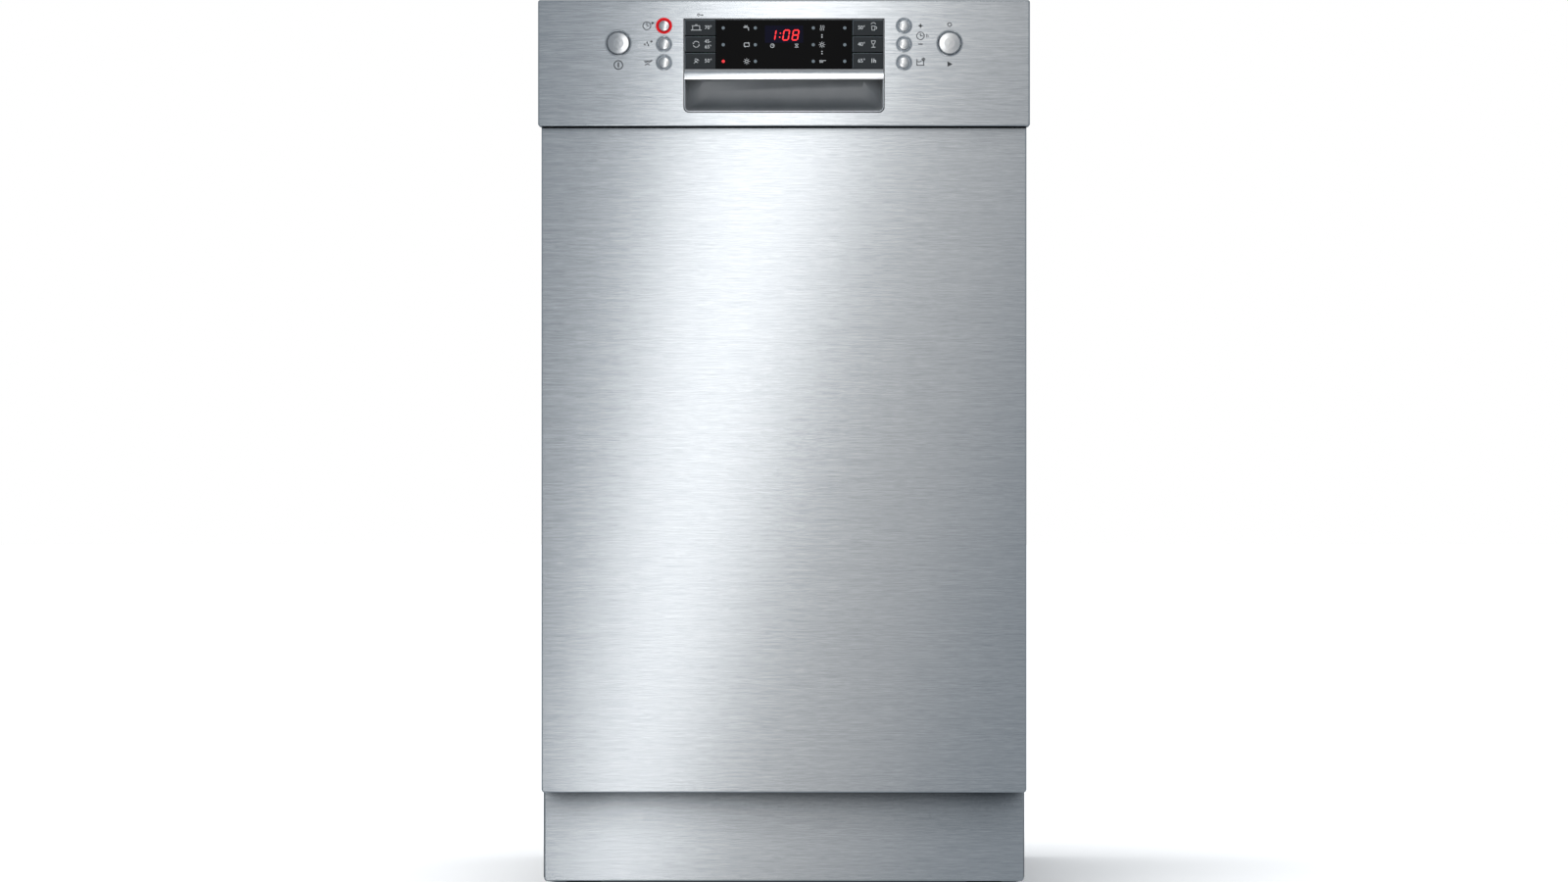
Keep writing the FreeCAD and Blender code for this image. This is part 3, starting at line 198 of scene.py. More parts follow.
def satin_sheet(name, dark, light, rough, metallic=1.0):
    """Rolled sheet with a faint cloudiness and a fine grain."""
    made = Shader(name, rough, metallic)
    cloud = made.noise(4.0, 2.0)
    grain = made.noise((40.0, 40.0, 1500.0), 2.0)
    blend = made.mix(0.5, cloud, grain)
    made.shades(blend, dark, light, 0.2, 0.8)
    made.roughness(blend, rough * 0.88, rough * 1.15)
    made.bump(grain, 0.02, 0.0001)
    return made.material


def galvanised(name):
    """Zinc-coated sheet with its flowered spangle."""
    made = Shader(name, 0.36, 0.7)
    spangle = made.cells(150.0, output="Color")
    cloud = made.noise(5.0, 3.0)
    blend = made.mix(0.35, cloud, spangle)
    made.shades(blend, (0.52, 0.53, 0.545), (0.64, 0.65, 0.665), 0.25, 0.75)
    made.roughness(blend, 0.30, 0.42)
    made.bump(cloud, 0.03, 0.0003)
    return made.material


def moulded(name, colour, rough, grain=0.00012, gloss=0.5):
    """Moulded plastic with a fine spark-eroded grain."""
    made = Shader(name, rough, Specular_IOR_Level=gloss)
    cloud = made.noise(30.0, 4.0)
    dark = tuple(c * 0.9 for c in colour)
    light = tuple(min(1.0, c * 1.08) for c in colour)
    made.shades(cloud, dark, light)
    made.roughness(cloud, rough * 0.9, rough * 1.12)
    made.bump(made.noise(2600.0, 2.0), 0.25, grain)
    return made.material


def polished(name, tint, rough=0.07, shaded=0.0):
    """Bright metal. shaded is how far, in metres, painted shade reaches into its inner corners."""
    made = Shader(name, rough, 1.0)
    cloud = made.noise(70.0, 3.0)
    metal = made.ramp(cloud, (0.3, tuple(c * 0.95 for c in tint)), (0.7, tint))
    made.colour(made.mix(1.0, metal, made.recess(shaded), "MULTIPLY") if shaded else metal)
    made.roughness(cloud, rough * 0.8, rough * 1.4)
    return made.material


def lit(name, colour, strength):
    """A lamp behind coloured plastic: it glows, a little unevenly."""
    made = Shader(name, 0.35)
    cloud = made.noise(900.0, 2.0)
    glow = made.ramp(cloud, (0.2, tuple(c * 0.75 for c in colour)), (0.7, colour))
    made.colour(glow)
    made.link(glow, made.principled, "Emission Color")
    made.principled.inputs["Emission Strength"].default_value = strength
    return made.material


def glossy_lens(name, colour):
    """The black display lens: smooth, with the faintest orange peel."""
    made = Shader(name, 0.12, Specular_IOR_Level=0.04)
    cloud = made.noise(40.0, 3.0)
    made.shades(cloud, colour, tuple(c * 1.6 for c in colour))
    made.roughness(cloud, 0.1, 0.16)
    made.bump(made.noise(160.0, 1.0), 0.02, 0.0002)
    return made.material


def perforated(name):
    """Strainer sheet: rows of tiny holes in satin steel, drawn as near-black dots of painted shade with a
    bump.
    """
    made = Shader(name, 0.3, 1.0)
    holes = made.cells(420.0)
    # painted shade: the holes are dark colour, not cut through
    made.colour(made.ramp(holes, (0.28, (0.03, 0.03, 0.03)), (0.34, (0.58, 0.59, 0.6))))
    made.bump(holes, 0.3, 0.0003)
    made.roughness(made.noise(60.0), 0.24, 0.4)
    return made.material


def circuit(name):
    made = Shader(name, 0.4)
    tracks = made.cells(380.0, feature="DISTANCE_TO_EDGE")
    made.colour(made.ramp(tracks, (0.06, (0.12, 0.34, 0.16)), (0.12, (0.02, 0.14, 0.06))))
    made.bump(tracks, 0.2, 0.0001)
    return made.material


STEEL_DARK, STEEL_LIGHT = (0.50, 0.53, 0.56), (0.72, 0.745, 0.765)
MATERIALS = {
    "brushed_front": brushed("steel_front", STEEL_DARK, STEEL_LIGHT, 0.24),
    "inner_steel": satin_sheet("steel_inner", (0.64, 0.65, 0.67), (0.74, 0.75, 0.77), 0.26, 0.6),
    "button_metal": satin_sheet("button_caps", (0.66, 0.67, 0.68), (0.78, 0.79, 0.80), 0.22),
    "bezel_chrome": polished("bezel_rings", (0.84, 0.87, 0.90), 0.2),
    "grip_grey": moulded("grip_moulding", (0.225, 0.235, 0.245), 0.36, gloss=0.6),
    "display_black": glossy_lens("display_lens", (0.0008, 0.0008, 0.0010)),
    "key_grey": moulded("key_caps", (0.016, 0.020, 0.023), 0.5, gloss=0.3),
    "board_green": circuit("circuit_board"),
    "zinc_sheet": galvanised("zinc_sheet"),
    "hinge_steel": satin_sheet("hinge_plate", (0.42, 0.42, 0.40), (0.58, 0.58, 0.56), 0.36),
    "tray_plastic": moulded("tray_moulding", (0.018, 0.018, 0.020), 0.55),
    "seal_rubber": moulded("seal_rubber", (0.035, 0.035, 0.037), 0.7),
    "grey_plastic": moulded("grey_moulding", (0.30, 0.31, 0.32), 0.42),
    "filter_steel": perforated("strainer_sheet"),
    "rack_coat": moulded("rack_coating", (0.20, 0.215, 0.23), 0.28, 0.00003),
    "white_plastic": moulded("white_moulding", (0.72, 0.72, 0.70), 0.4),
    "lid_plastic": moulded("lid_moulding", (0.12, 0.125, 0.135), 0.3),
    "inlet_black": moulded("socket_black", (0.012, 0.012, 0.012), 0.4),
}
CHROME = polished("lip_chrome", (0.86, 0.88, 0.90), 0.16)
# the lip's chrome carries painted shade in its inner corners, reaching 12 mm
LIP_CHROME = polished("shaded_chrome", (0.90, 0.92, 0.94), 0.2, 0.012)
INK_DARK = moulded("ink_dark", (0.035, 0.038, 0.042), 0.6)
INK_LIGHT = moulded("ink_light", (0.62, 0.64, 0.65), 0.5)
# grey of the unlit display lamps, also drawn as the painted highlight along the keys' top and left edges
UNLIT_LAMP_AND_KEY_HIGHLIGHT = moulded("lamp_off", (0.13, 0.165, 0.19), 0.35)
LAMP_RED = lit("lamp_red", (0.75, 0.010, 0.016), 0.4)
DIGIT_RED = lit("digit_red", (0.85, 0.008, 0.012), 1.1)
DIGIT_PANE = glossy_lens("digit_pane", (0.002, 0.002, 0.009))
SHADOW_GAP = moulded("shadow_gap", (0.006, 0.006, 0.007), 0.8)
SCREW = satin_sheet("screw_heads", (0.5, 0.5, 0.49), (0.68, 0.68, 0.66), 0.3)

for part in frame["record"]["subparts"]:
    node = frame["nodes"][part["node"]]
    node.data.materials.clear()
    node.data.materials.append(MATERIALS[part["material_slot"]])


# ---- building blocks -------------------------------------------------------------------------------------


def show(name, mesh, body, material, smooth=35):
    """Puts a finished mesh in the scene, riding on a CAD body unless none is named."""
    made = bpy.data.objects.new(name, mesh)
    bpy.context.scene.collection.objects.link(made)
    mesh.materials.clear()
    mesh.materials.append(material)
    for face in mesh.polygons:
        face.use_smooth = smooth > 0
    if smooth:
        mesh.set_sharp_from_angle(angle=math.radians(smooth))
    if body:
        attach(made, body)
    return made


def mesh_from(name, vertices, faces):
    mesh = bpy.data.meshes.new(name)
    mesh.from_pydata([tuple(v) for v in vertices], [], faces)
    tidy = bmesh.new()
    tidy.from_mesh(mesh)
    bmesh.ops.remove_doubles(tidy, verts=tidy.verts, dist=1e-7)
    bmesh.ops.recalc_face_normals(tidy, faces=tidy.faces)
    tidy.to_mesh(mesh)
    tidy.free()
    return mesh


def lathe_mesh(name, rings, centre, axis, steps=64, closed=False):
    """Turns (radius, distance along axis) pairs about an axis through centre."""
    turn = Z_AXIS.rotation_difference(Vector(axis))
    vertices, faces = [], []
    for radius, height in rings:
        for i in range(steps):
            angle = 2 * math.pi * i / steps
            spot = Vector((radius * math.cos(angle), radius * math.sin(angle), height))
            vertices.append(Vector(centre) + turn @ spot)
    count = len(rings)
    for ring in range(count if closed else count - 1):
        low, high = ring * steps, (ring + 1) % count * steps
        for i in range(steps):
            after = (i + 1) % steps
            faces.append((low + i, low + after, high + after, high + i))
    if not closed:
        faces.append(tuple(range(steps)))
        faces.append(tuple(range((count - 1) * steps, count * steps)))
    return mesh_from(name, vertices, faces)


def strip_mesh(name, profile, x0, x1):
    """Sweeps a closed (y, z) profile from x0 to x1."""
    count = len(profile)
    vertices = [(x, y, z) for x in (x0, x1) for y, z in profile]
    faces = [(i, (i + 1) % count, count + (i + 1) % count, count + i) for i in range(count)]
    faces += [tuple(range(count)), tuple(range(count, 2 * count))]
    return mesh_from(name, vertices, faces)


def bent(points, radius, steps=4):
    """The points of a bent wire: each inner corner becomes an arc of the given radius."""
    points = [Vector(p) for p in points]
    path = [points[0]]
    for before, corner, after in zip(points, points[1:], points[2:]):
        come, go = (before - corner).normalized(), (after - corner).normalized()
        half = come.angle(go) / 2
        middle = corner + (come + go).normalized() * (radius / math.sin(half))
        first, last = corner + come * (radius / math.tan(half)), corner + go * (radius / math.tan(half))
        for step in range(steps + 1):
            spoke = (first - middle).lerp(last - middle, step / steps).normalized()
            path.append(middle + spoke * radius)
    return path + [points[-1]]


def wires_mesh(name, paths, radius, closed=False):
    """Round wire of one thickness along each path."""
    curve = bpy.data.curves.new(name, "CURVE")
    curve.dimensions, curve.bevel_depth, curve.bevel_resolution = "3D", radius, 2
    curve.use_fill_caps = True
    for path in paths:
        spline = curve.splines.new("POLY")
        spline.points.add(len(path) - 1)
        spline.use_cyclic_u = closed
        for point, spot in zip(spline.points, path):
            point.co = (*spot, 1)
    holder = bpy.data.objects.new(name, curve)
    mesh = bpy.data.meshes.new_from_object(holder)
    bpy.data.objects.remove(holder)
    bpy.data.curves.remove(curve)
    return mesh


def bars_mesh(name, bars, bevel):
    """Straight bars from their low and high corners, with their edges softened."""
    made = bmesh.new()
    for low, high in bars:
        cube = bmesh.ops.create_cube(made, size=1.0)["verts"]
        size, centre = Vector(high) - Vector(low), (Vector(high) + Vector(low)) / 2
        for vertex in cube:
            vertex.co = Vector(a * b for a, b in zip(vertex.co, size)) + centre
    bmesh.ops.bevel(made, geom=made.edges[:], offset=bevel, segments=2, profile=0.5, affect="EDGES")
    mesh = bpy.data.meshes.new(name)
    made.to_mesh(mesh)
    made.free()
    return mesh


def spread(low, high, count):
    return [low + (high - low) * i / (count - 1) for i in range(count)]


class Print:
    """Thin raised artwork on a surface that faces -Y. Lengths are in millimetres, u right and v up."""

    THICKNESS = 0.07

    def __init__(self, front, weight=1.0):
        self.front, self.weight, self.centre = front, weight, (0.0, 0.0)
        self.vertices, self.faces = [], []

    def at(self, x, z):
        """Moves the drawing's own origin to a place in metres."""
        self.centre = (x, z)
        return self

    def slab(self, outline):
        """A closed outline of (u, v) corners, raised to the print's thickness."""
        start, count = len(self.vertices), len(outline)
        for depth in (0.0, self.THICKNESS):
            for u, v in outline:
                x, z = self.centre[0] + u * MM, self.centre[1] + v * MM
                self.vertices.append((x, self.front - depth * MM, z))
        back = tuple(range(start, start + count))
        self.faces.append(back)
        self.faces.append(tuple(reversed(range(start + count, start + 2 * count))))
        for i in range(count):
            after = (i + 1) % count
            self.faces.append((start + i, start + after, start + count + after, start + count + i))

    def line(self, points, width=0.4, closed=False):
        """A stroke through points, one bar for each run, with its ends carried past the corner."""
        ends = points + points[:1] if closed else points
        width = width * self.weight
        for (u0, v0), (u1, v1) in zip(ends, ends[1:]):
            length = math.hypot(u1 - u0, v1 - v0)
            du, dv = (u1 - u0) / length * width / 2, (v1 - v0) / length * width / 2
            u0, v0, u1, v1 = u0 - du, v0 - dv, u1 + du, v1 + dv
            self.slab([(u0 - dv, v0 + du), (u1 - dv, v1 + du), (u1 + dv, v1 - du), (u0 + dv, v0 - du)])

    def disc(self, u, v, radius, steps=20):
        turns = [2 * math.pi * i / steps for i in range(steps)]
        self.slab([(u + radius * math.cos(a), v + radius * math.sin(a)) for a in turns])

    def arc(self, u, v, radius, start=0, end=360, width=0.4, steps=24):
        turns = [math.radians(start + (end - start) * i / steps) for i in range(steps + 1)]
        outer, inner = radius + width * self.weight / 2, radius - width * self.weight / 2
        for a, b in zip(turns, turns[1:]):
            corners = ((inner, a), (outer, a), (outer, b), (inner, b))
            self.slab([(u + reach * math.cos(turn), v + reach * math.sin(turn)) for reach, turn in corners])

    def number(self, text, u, v, size, bold=False):
        """Digits, a degree sign or a unit, centred on (u, v). size is the digit height."""
        curve = bpy.data.curves.new("digits", "FONT")
        curve.body = text
        curve.align_x, curve.align_y = "CENTER", "CENTER"
        curve.size = size * 1.38
        curve.offset = 0.09 if bold else 0.0
        curve.extrude = self.THICKNESS / 2
        curve.resolution_u = 3
        holder = bpy.data.objects.new("digits", curve)
        mesh = bpy.data.meshes.new_from_object(holder)
        start = len(self.vertices)
        for vertex in mesh.vertices:
            x, y, z = vertex.co
            depth = (z + self.THICKNESS / 2) * MM
            across, up = (u + x) * MM, (v + y) * MM
            self.vertices.append((self.centre[0] + across, self.front - depth, self.centre[1] + up))
        self.faces += [tuple(start + i for i in face.vertices) for face in mesh.polygons]
        bpy.data.objects.remove(holder)
        bpy.data.curves.remove(curve)
        bpy.data.meshes.remove(mesh)

    def done(self, name, body, material):
        mesh = bpy.data.meshes.new(name)
        mesh.from_pydata(self.vertices, [], self.faces)
        mesh.validate()
        return show(name, mesh, body, material, smooth=0)


def middle(node):
    low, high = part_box(node)
    return (low + high) / 2


# ---- controls --------------------------------------------------------------------------------------------

ROUND_BUTTONS = [part["node"] for part in frame["record"]["subparts"] if part["node"].startswith("button_")]
ROUND_BUTTONS.remove("button_bezels")
FASCIA_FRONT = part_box("fascia_panel")[0].y
LIT_BUTTON = "button_left_upper"


def bezels():
    """A sunk ring round each button: a rounded rim, then a cone down to the gap beside the cap."""
    for name in ROUND_BUTTONS:
        low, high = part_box(name)
        radius = (high.x - low.x) / 2
        big = radius > 6 * MM
        rim = radius + (2.1 if big else 2.35) * MM
        outer, inner = rim, radius + 0.28 * MM
        front = FASCIA_FRONT
        centre = (middle(name).x, front, middle(name).z)
        cone = [(inner, -3.6), (inner, -2.2), (inner + 0.3 * MM, -2.0)]
        rounded = [(-0.9, -0.35), (-0.6, 0.28), (-0.3, 0.42), (0, 0.3), (0, -0.05)]
        rounded += [(-0.6, -0.1), (-0.6, -3.6)]
        rings = [(r, height * MM) for r, height in cone]
        rings += [(outer + inward * MM, height * MM) for inward, height in rounded]
        mesh = lathe_mesh("bezel_" + name, rings, centre, -Y_AXIS, closed=True)
        metal = LAMP_RED if name == LIT_BUTTON else MATERIALS["bezel_chrome"]
        piece = show("bezel_" + name, mesh, "door", metal)
        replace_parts(piece, "button_bezels")


def grip_lip():
    """The convex chrome strip between the display and the recess."""
    low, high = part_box("handle_pocket")
    bottom, top = low.z + (742.7 - 712.6) * MM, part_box("display_window")[0].z - 0.3 * MM
    front = FASCIA_FRONT
    height = top - bottom
    profile = [(front + 3 * MM, top), (front + 3 * MM, bottom), (front - 0.5 * MM, bottom)]
    steps = 12
    for i in range(steps + 1):
        turn = math.pi / 2 * i / steps
        y = front + 2.2 * MM - 2.9 * MM * math.cos(turn)
        profile.append((y, bottom + 0.4 * MM + (height - 0.4 * MM) * math.sin(turn)))
    piece = strip_mesh("grip_lip", profile, low.x + 0.6 * MM, high.x - 0.6 * MM)
    # the strip's chrome carries painted shade in its inner corners
    show("grip_lip", piece, "door", LIP_CHROME, smooth=50)


def grip_cup():
    """The smooth concave back of the finger recess, from its rim in to a flat, without its top."""
    low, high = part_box("handle_pocket")
    half, bottom = high.x - 1.0 * MM, low.z + 1.0 * MM
    top = low.z + 31.5 * MM
    insets = (0.0, 0.5, 1.4, 3.0, 5.6, 9.0, 13.0, 17.5)
    depths = (0.6, 4.0, 8.0, 12.0, 15.0, 17.2, 18.5, 19.0)
    vertices, corner_steps = [], 8
    for inset, depth in zip(insets, depths):
        radius = max(4.0 + inset * 0.35, 1.0) * MM
        x, z = half - inset * MM, bottom + inset * MM
        ring = [(-x, top)]
        for side, start in ((-1, 180), (1, 270)):
            for step in range(corner_steps + 1):
                turn = math.radians(start + 90 * step / corner_steps)
                spot = (side * (x - radius), z + radius)
                ring.append((spot[0] + radius * math.cos(turn), spot[1] + radius * math.sin(turn)))
        ring.append((x, top))
        vertices += [(x, FASCIA_FRONT + depth * MM, z) for x, z in ring]
    count = len(vertices) // len(insets)
    faces = []
    for ring in range(len(insets) - 1):
        for i in range(count - 1):
            start = ring * count + i
            faces.append((start, start + 1, start + count + 1, start + count))
    faces.append(tuple(range((len(insets) - 1) * count, len(insets) * count)))
    mesh = mesh_from("grip_cup", vertices, faces)
    piece = show("grip_cup", mesh, "door", MATERIALS["grip_grey"], 60)
    thick = piece.modifiers.new("thickness", "SOLIDIFY")
    thick.thickness, thick.offset = 0.0004, -1.0


def rounded_frame(low, high, radii, width):
    """Outer and inner outlines of a frame in the XZ plane with its own radius at each corner."""
    outlines = []
    for inset in (0.0, width):
        outline = []
        corners = (
            (high.x, low.z, radii[0], -90), (high.x, high.z, radii[1], 0),
            (low.x, high.z, radii[1], 90), (low.x, low.z, radii[0], 180),
        )
        for x, z, radius, start in corners:
            inward_x = -1 if x == high.x else 1
            inward_z = 1 if z == low.z else -1
            centre = (x + inward_x * radius, z + inward_z * radius)
            for step in range(7):
                angle = math.radians(start + 15 * step)
                reach = radius - inset
                outline.append((centre[0] + reach * math.cos(angle), centre[1] + reach * math.sin(angle)))
        outlines.append(outline)
    return outlines


def insert_rim():
    """The gap round the insert as a near-black ring of painted shadow, the steel that rounds its lower
    corners, and the recess's bright edge.
    """
    low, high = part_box("handle_pocket")
    grow = Vector((0.1, 0, 0.1)) * MM
    outer, inner = rounded_frame(low - grow, high + grow, (5.0 * MM, 1.3 * MM), 0.6 * MM)
    vertices, count = [], len(outer)
    for outline, depth in ((outer, -0.9), (outer, 0.06), (inner, 0.06), (inner, -0.9)):
        vertices += [(x, FASCIA_FRONT - depth * MM, z) for x, z in outline]
    faces = []
    for ring in range(4):
        for i in range(count):
            after, above = (i + 1) % count, (ring + 1) % 4
            faces.append((ring * count + i, ring * count + after, above * count + after, above * count + i))
    # painted shadow: a near-black ring, just proud of the fascia, stands for the shade in the gap round the
    # insert
    show("insert_gap_painted_shadow", mesh_from("insert_gap_painted_shadow", vertices, faces), "door", SHADOW_GAP)

    radius = 5.2 * MM
    base = low.z - 0.25 * MM
    for side, sign in (("left", -1), ("right", 1)):
        edge = sign * (high.x + 0.25 * MM)
        outline = [(edge, base)]
        for step in range(9):
            turn = math.pi / 2 * step / 8
            across, up = radius * (1 - math.cos(turn)), radius * (1 - math.sin(turn))
            outline.append((edge - sign * across, base + up))
        count = len(outline)
        vertices = [(x, FASCIA_FRONT + depth, z) for depth in (0.02 * MM, 0.28 * MM) for x, z in outline]
        faces = [tuple(range(count)), tuple(range(count, 2 * count))]
        faces += [(i, (i + 1) % count, count + (i + 1) % count, count + i) for i in range(count)]
        name = "insert_corner_" + side
        show(name, mesh_from(name, vertices, faces), "door", MATERIALS["brushed_front"])

    inset, y = 0.95 * MM, FASCIA_FRONT + 0.1 * MM
    x, bottom, top = high.x - inset, low.z + inset, low.z + 29.5 * MM
    path = bent([(-x, y, top), (-x, y, bottom), (x, y, bottom), (x, y, top)], 4.2 * MM, 8)
    rim = wires_mesh("recess_rim", [path], 0.5 * MM)
    show("recess_rim", rim, "door", CHROME, 60)


def key_edge_highlights():
    """The pale line along the top and left edge of each programme key: a painted highlight where light
    falls on its edges.
    """
    for name in [n for n in frame["nodes"] if n.startswith("key_")]:
        low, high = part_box(name)
        art = Print(low.y).at(low.x, low.z)
        width, height = (high.x - low.x) / MM, (high.z - low.z) / MM
        art.line([(0.5, 0.6), (0.5, height - 0.45), (width - 0.6, height - 0.45)], 0.22)
        # painted highlight along the key's top and left edge
        art.done("edge_" + name, name, UNLIT_LAMP_AND_KEY_HIGHLIGHT)


def draw_pot(art, u, v):
    art.line([(u - 3.2, v - 2), (u - 3.2, v + 1.6), (u + 3.2, v + 1.6), (u + 3.2, v - 2)], 0.45)
    art.line([(u - 4.6, v - 2.4), (u + 4.6, v - 2.4)], 0.5)
    art.line([(u - 3.9, v + 1.6), (u - 3.2, v + 1.6)], 0.4)
    art.line([(u - 0.9, v + 2.5), (u + 0.9, v + 2.5)], 0.4)


def draw_glass(art, u, v):
    art.line([(u - 1.9, v + 3), (u + 1.9, v + 3), (u + 0.9, v + 0.2), (u - 0.9, v + 0.2)], 0.4, closed=True)
    art.line([(u, v + 0.2), (u, v - 2.7)], 0.5)
    art.line([(u - 1.6, v - 2.8), (u + 1.6, v - 2.8)], 0.5)


def draw_cup(art, u, v):
    cup = [(u - 1.6, v + 1.4), (u - 1.2, v - 2.4), (u + 1.2, v - 2.4), (u + 1.6, v + 1.4)]
    art.line(cup, 0.45, closed=True)
    art.arc(u + 2.0, v - 0.3, 1.1, -90, 90, 0.4)
    art.arc(u, v + 2.3, 2.2, 20, 160, 0.45)


def draw_leaf(art, u, v):
    art.arc(u - 0.2, v - 1.8, 3.6, 30, 100, 0.45)
    art.arc(u + 2.6, v + 1.9, 3.6, 195, 262, 0.45)
    art.line([(u - 1.6, v - 2.2), (u + 1.8, v + 0.9)], 0.4)


def draw_cycle(art, u, v, radius=2.3):
    for start in (20, 200):
        art.arc(u, v, radius, start, start + 125, 0.45)
        tip = math.radians(start + 135)
        cx, cz = u + radius * math.cos(tip), v + radius * math.sin(tip)
        side = (math.cos(tip), math.sin(tip))
        ahead = (-side[1], side[0])
        art.slab([
            (cx - 0.8 * side[0], cz - 0.8 * side[1]), (cx + 0.8 * side[0], cz + 0.8 * side[1]),
            (cx + 1.1 * ahead[0], cz + 1.1 * ahead[1]),
        ])


def draw_tap(art, u, v):
    art.line([(u - 2.4, v + 0.6), (u + 1.6, v + 0.6), (u + 1.6, v - 0.6)], 0.8)
    art.line([(u - 0.6, v + 0.8), (u - 0.6, v + 2.0)], 0.5)
    art.line([(u - 1.8, v + 2.0), (u + 0.6, v + 2.0)], 0.5)
    art.disc(u + 1.6, v - 2.0, 0.45)


def draw_salt(art, u, v):
    for flip in (1, -1):
        shaft, head = ((-2.3, -0.9), (-2.3, 1.6), (1.2, 1.6)), ((1.2, 0.8), (2.5, 1.6), (1.2, 2.4))
        art.line([(u + a * flip, v + b * flip) for a, b in shaft], 0.5)
        art.slab([(u + a * flip, v + b * flip) for a, b in head])


def draw_spark(art, u, v, size=2.4):
    art.arc(u, v, size * 0.4, width=0.35)
    for i in range(8):
        angle = math.radians(45 * i)
        ends = [(u + r * size * math.cos(angle), v + r * size * math.sin(angle)) for r in (0.55, 1.0)]
        art.line(ends, 0.3)


def draw_steam(art, u, v):
    for offset in (-1.3, 0.2, 1.7):
        wave = ((0, -2.2), (-0.5, -0.7), (0.5, 0.7), (0, 2.2))
        art.line([(u + offset + a, v + b) for a, b in wave], 0.4)


def draw_droplets(art, u, v):
    for du, dv in ((-1.5, -0.6), (0.6, 0.9), (1.7, -1.2)):
        art.disc(u + du, v + dv, 0.65)
        art.slab([(u + du - 0.5, v + dv + 0.4), (u + du + 0.5, v + dv + 0.4), (u + du, v + dv + 1.6)])


def draw_brush(art, u, v):
    art.line([(u - 2.6, v + 0.7), (u + 3.2, v + 0.7)], 0.5)
    for offset in (-2.2, -1.3, -0.4, 0.5):
        art.line([(u + offset, v + 0.6), (u + offset, v - 1.1)], 0.4)


def draw_clock(art, u, v, radius=3.4):
    art.arc(u, v, radius, width=0.42, steps=32)
    art.line([(u, v + radius * 0.62), (u, v), (u + radius * 0.5, v)], 0.42)


def draw_plus(art, u, v, size=1.2, width=0.5):
    art.line([(u - size, v), (u + size, v)], width)
    art.line([(u, v - size), (u, v + size)], width)


def draw_half_load(art, u, v):
    for du in (-1.7, 1.1):
        art.arc(u + du, v + 1.3, 1.2, 180, 360, 0.4)
        art.line([(u + du - 1.2, v + 1.4), (u + du + 1.2, v + 1.4)], 0.35)
    art.line([(u - 2.4, v - 2.4), (u - 0.4, v - 1.0), (u + 1.6, v - 2.4)], 0.4)
    draw_plus(art, u + 3.2, v + 1.6, 0.7, 0.35)


def draw_care(art, u, v):
    art.line([(u - 3.2, v + 2.4), (u - 3.2, v - 3.0), (u + 3.0, v - 3.0), (u + 3.0, v + 1.0)], 0.45)
    art.line([(u - 3.2, v + 0.6), (u - 1.2, v + 0.1), (u + 0.6, v + 0.7)], 0.4)
    draw_spark(art, u + 2.6, v + 2.4, 1.7)


def draw_key(art, u, v):
    art.arc(u - 1.6, v, 1.0, width=0.35)
    art.line([(u - 0.5, v), (u + 2.4, v)], 0.35)
    for offset in (1.4, 2.3):
        art.line([(u + offset, v), (u + offset, v - 0.7)], 0.3)


def key_legends():
    """Pictograms and temperatures on the six programme keys."""
    number = Print.number
    two_rows = [
        (draw_cycle, -3.8, 0.0, 2.7),
        (number, "45-", 6.8, 2.6, 3.3),
        (number, "65°", 7.2, -2.4, 3.3),
    ]
    legends = {
        "key_left_upper": [(draw_pot, -3.8, 0.2), (number, "70°", 7.2, 0.1, 3.5)],
        "key_left_middle": two_rows,
        "key_left_lower": [(draw_leaf, -4.2, 0.0), (number, "50°", 7.2, 0.0, 3.5)],
        "key_right_upper": [(number, "50°", -5.6, 0.0, 3.5), (draw_cup, 5.2, 0.1)],
        "key_right_middle": [(number, "40°", -5.6, 0.0, 3.5), (draw_glass, 5.2, 0.1)],
        "key_right_lower": [(number, "65°", -5.6, 0.0, 3.5), (number, "1h", 5.2, 0.0, 3.8, True)],
    }
    for name, marks in legends.items():
        art = Print(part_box(name)[0].y).at(middle(name).x, middle(name).z)
        for draw, *settings in marks:
            draw(art, *settings)
        art.done("legend_" + name, name, INK_LIGHT)


SEGMENTS = {"0": "abcdef", "1": "bc", "8": "abcdefg"}


def digit(art, value, u, v, width, height):
    """One slanted seven-segment digit with its lower left corner at (u, v)."""
    slant, stroke, gap = 0.17, 1.15, 0.16
    half = height / 2
    bars = {
        "a": ((0, height), (width, height)),
        "b": ((width, height), (width, half)),
        "c": ((width, half), (width, 0)),
        "d": ((0, 0), (width, 0)),
        "e": ((0, half), (0, 0)),
        "f": ((0, height), (0, half)),
        "g": ((0, half), (width, half)),
    }
    for letter in SEGMENTS[value]:
        (x0, y0), (x1, y1) = bars[letter]
        length = math.hypot(x1 - x0, y1 - y0)
        ax, ay = (x1 - x0) / length, (y1 - y0) / length
        trim = stroke / 2 + gap
        far, tip = length - trim, length - gap
        outline = []
        for along, across in ((gap, 0), (trim, 1), (far, 1), (tip, 0), (far, -1), (trim, -1)):
            x, y = x0 + ax * along - ay * across * stroke / 2, y0 + ay * along + ax * across * stroke / 2
            outline.append((u + x + slant * y, v + y))
        art.slab(outline)


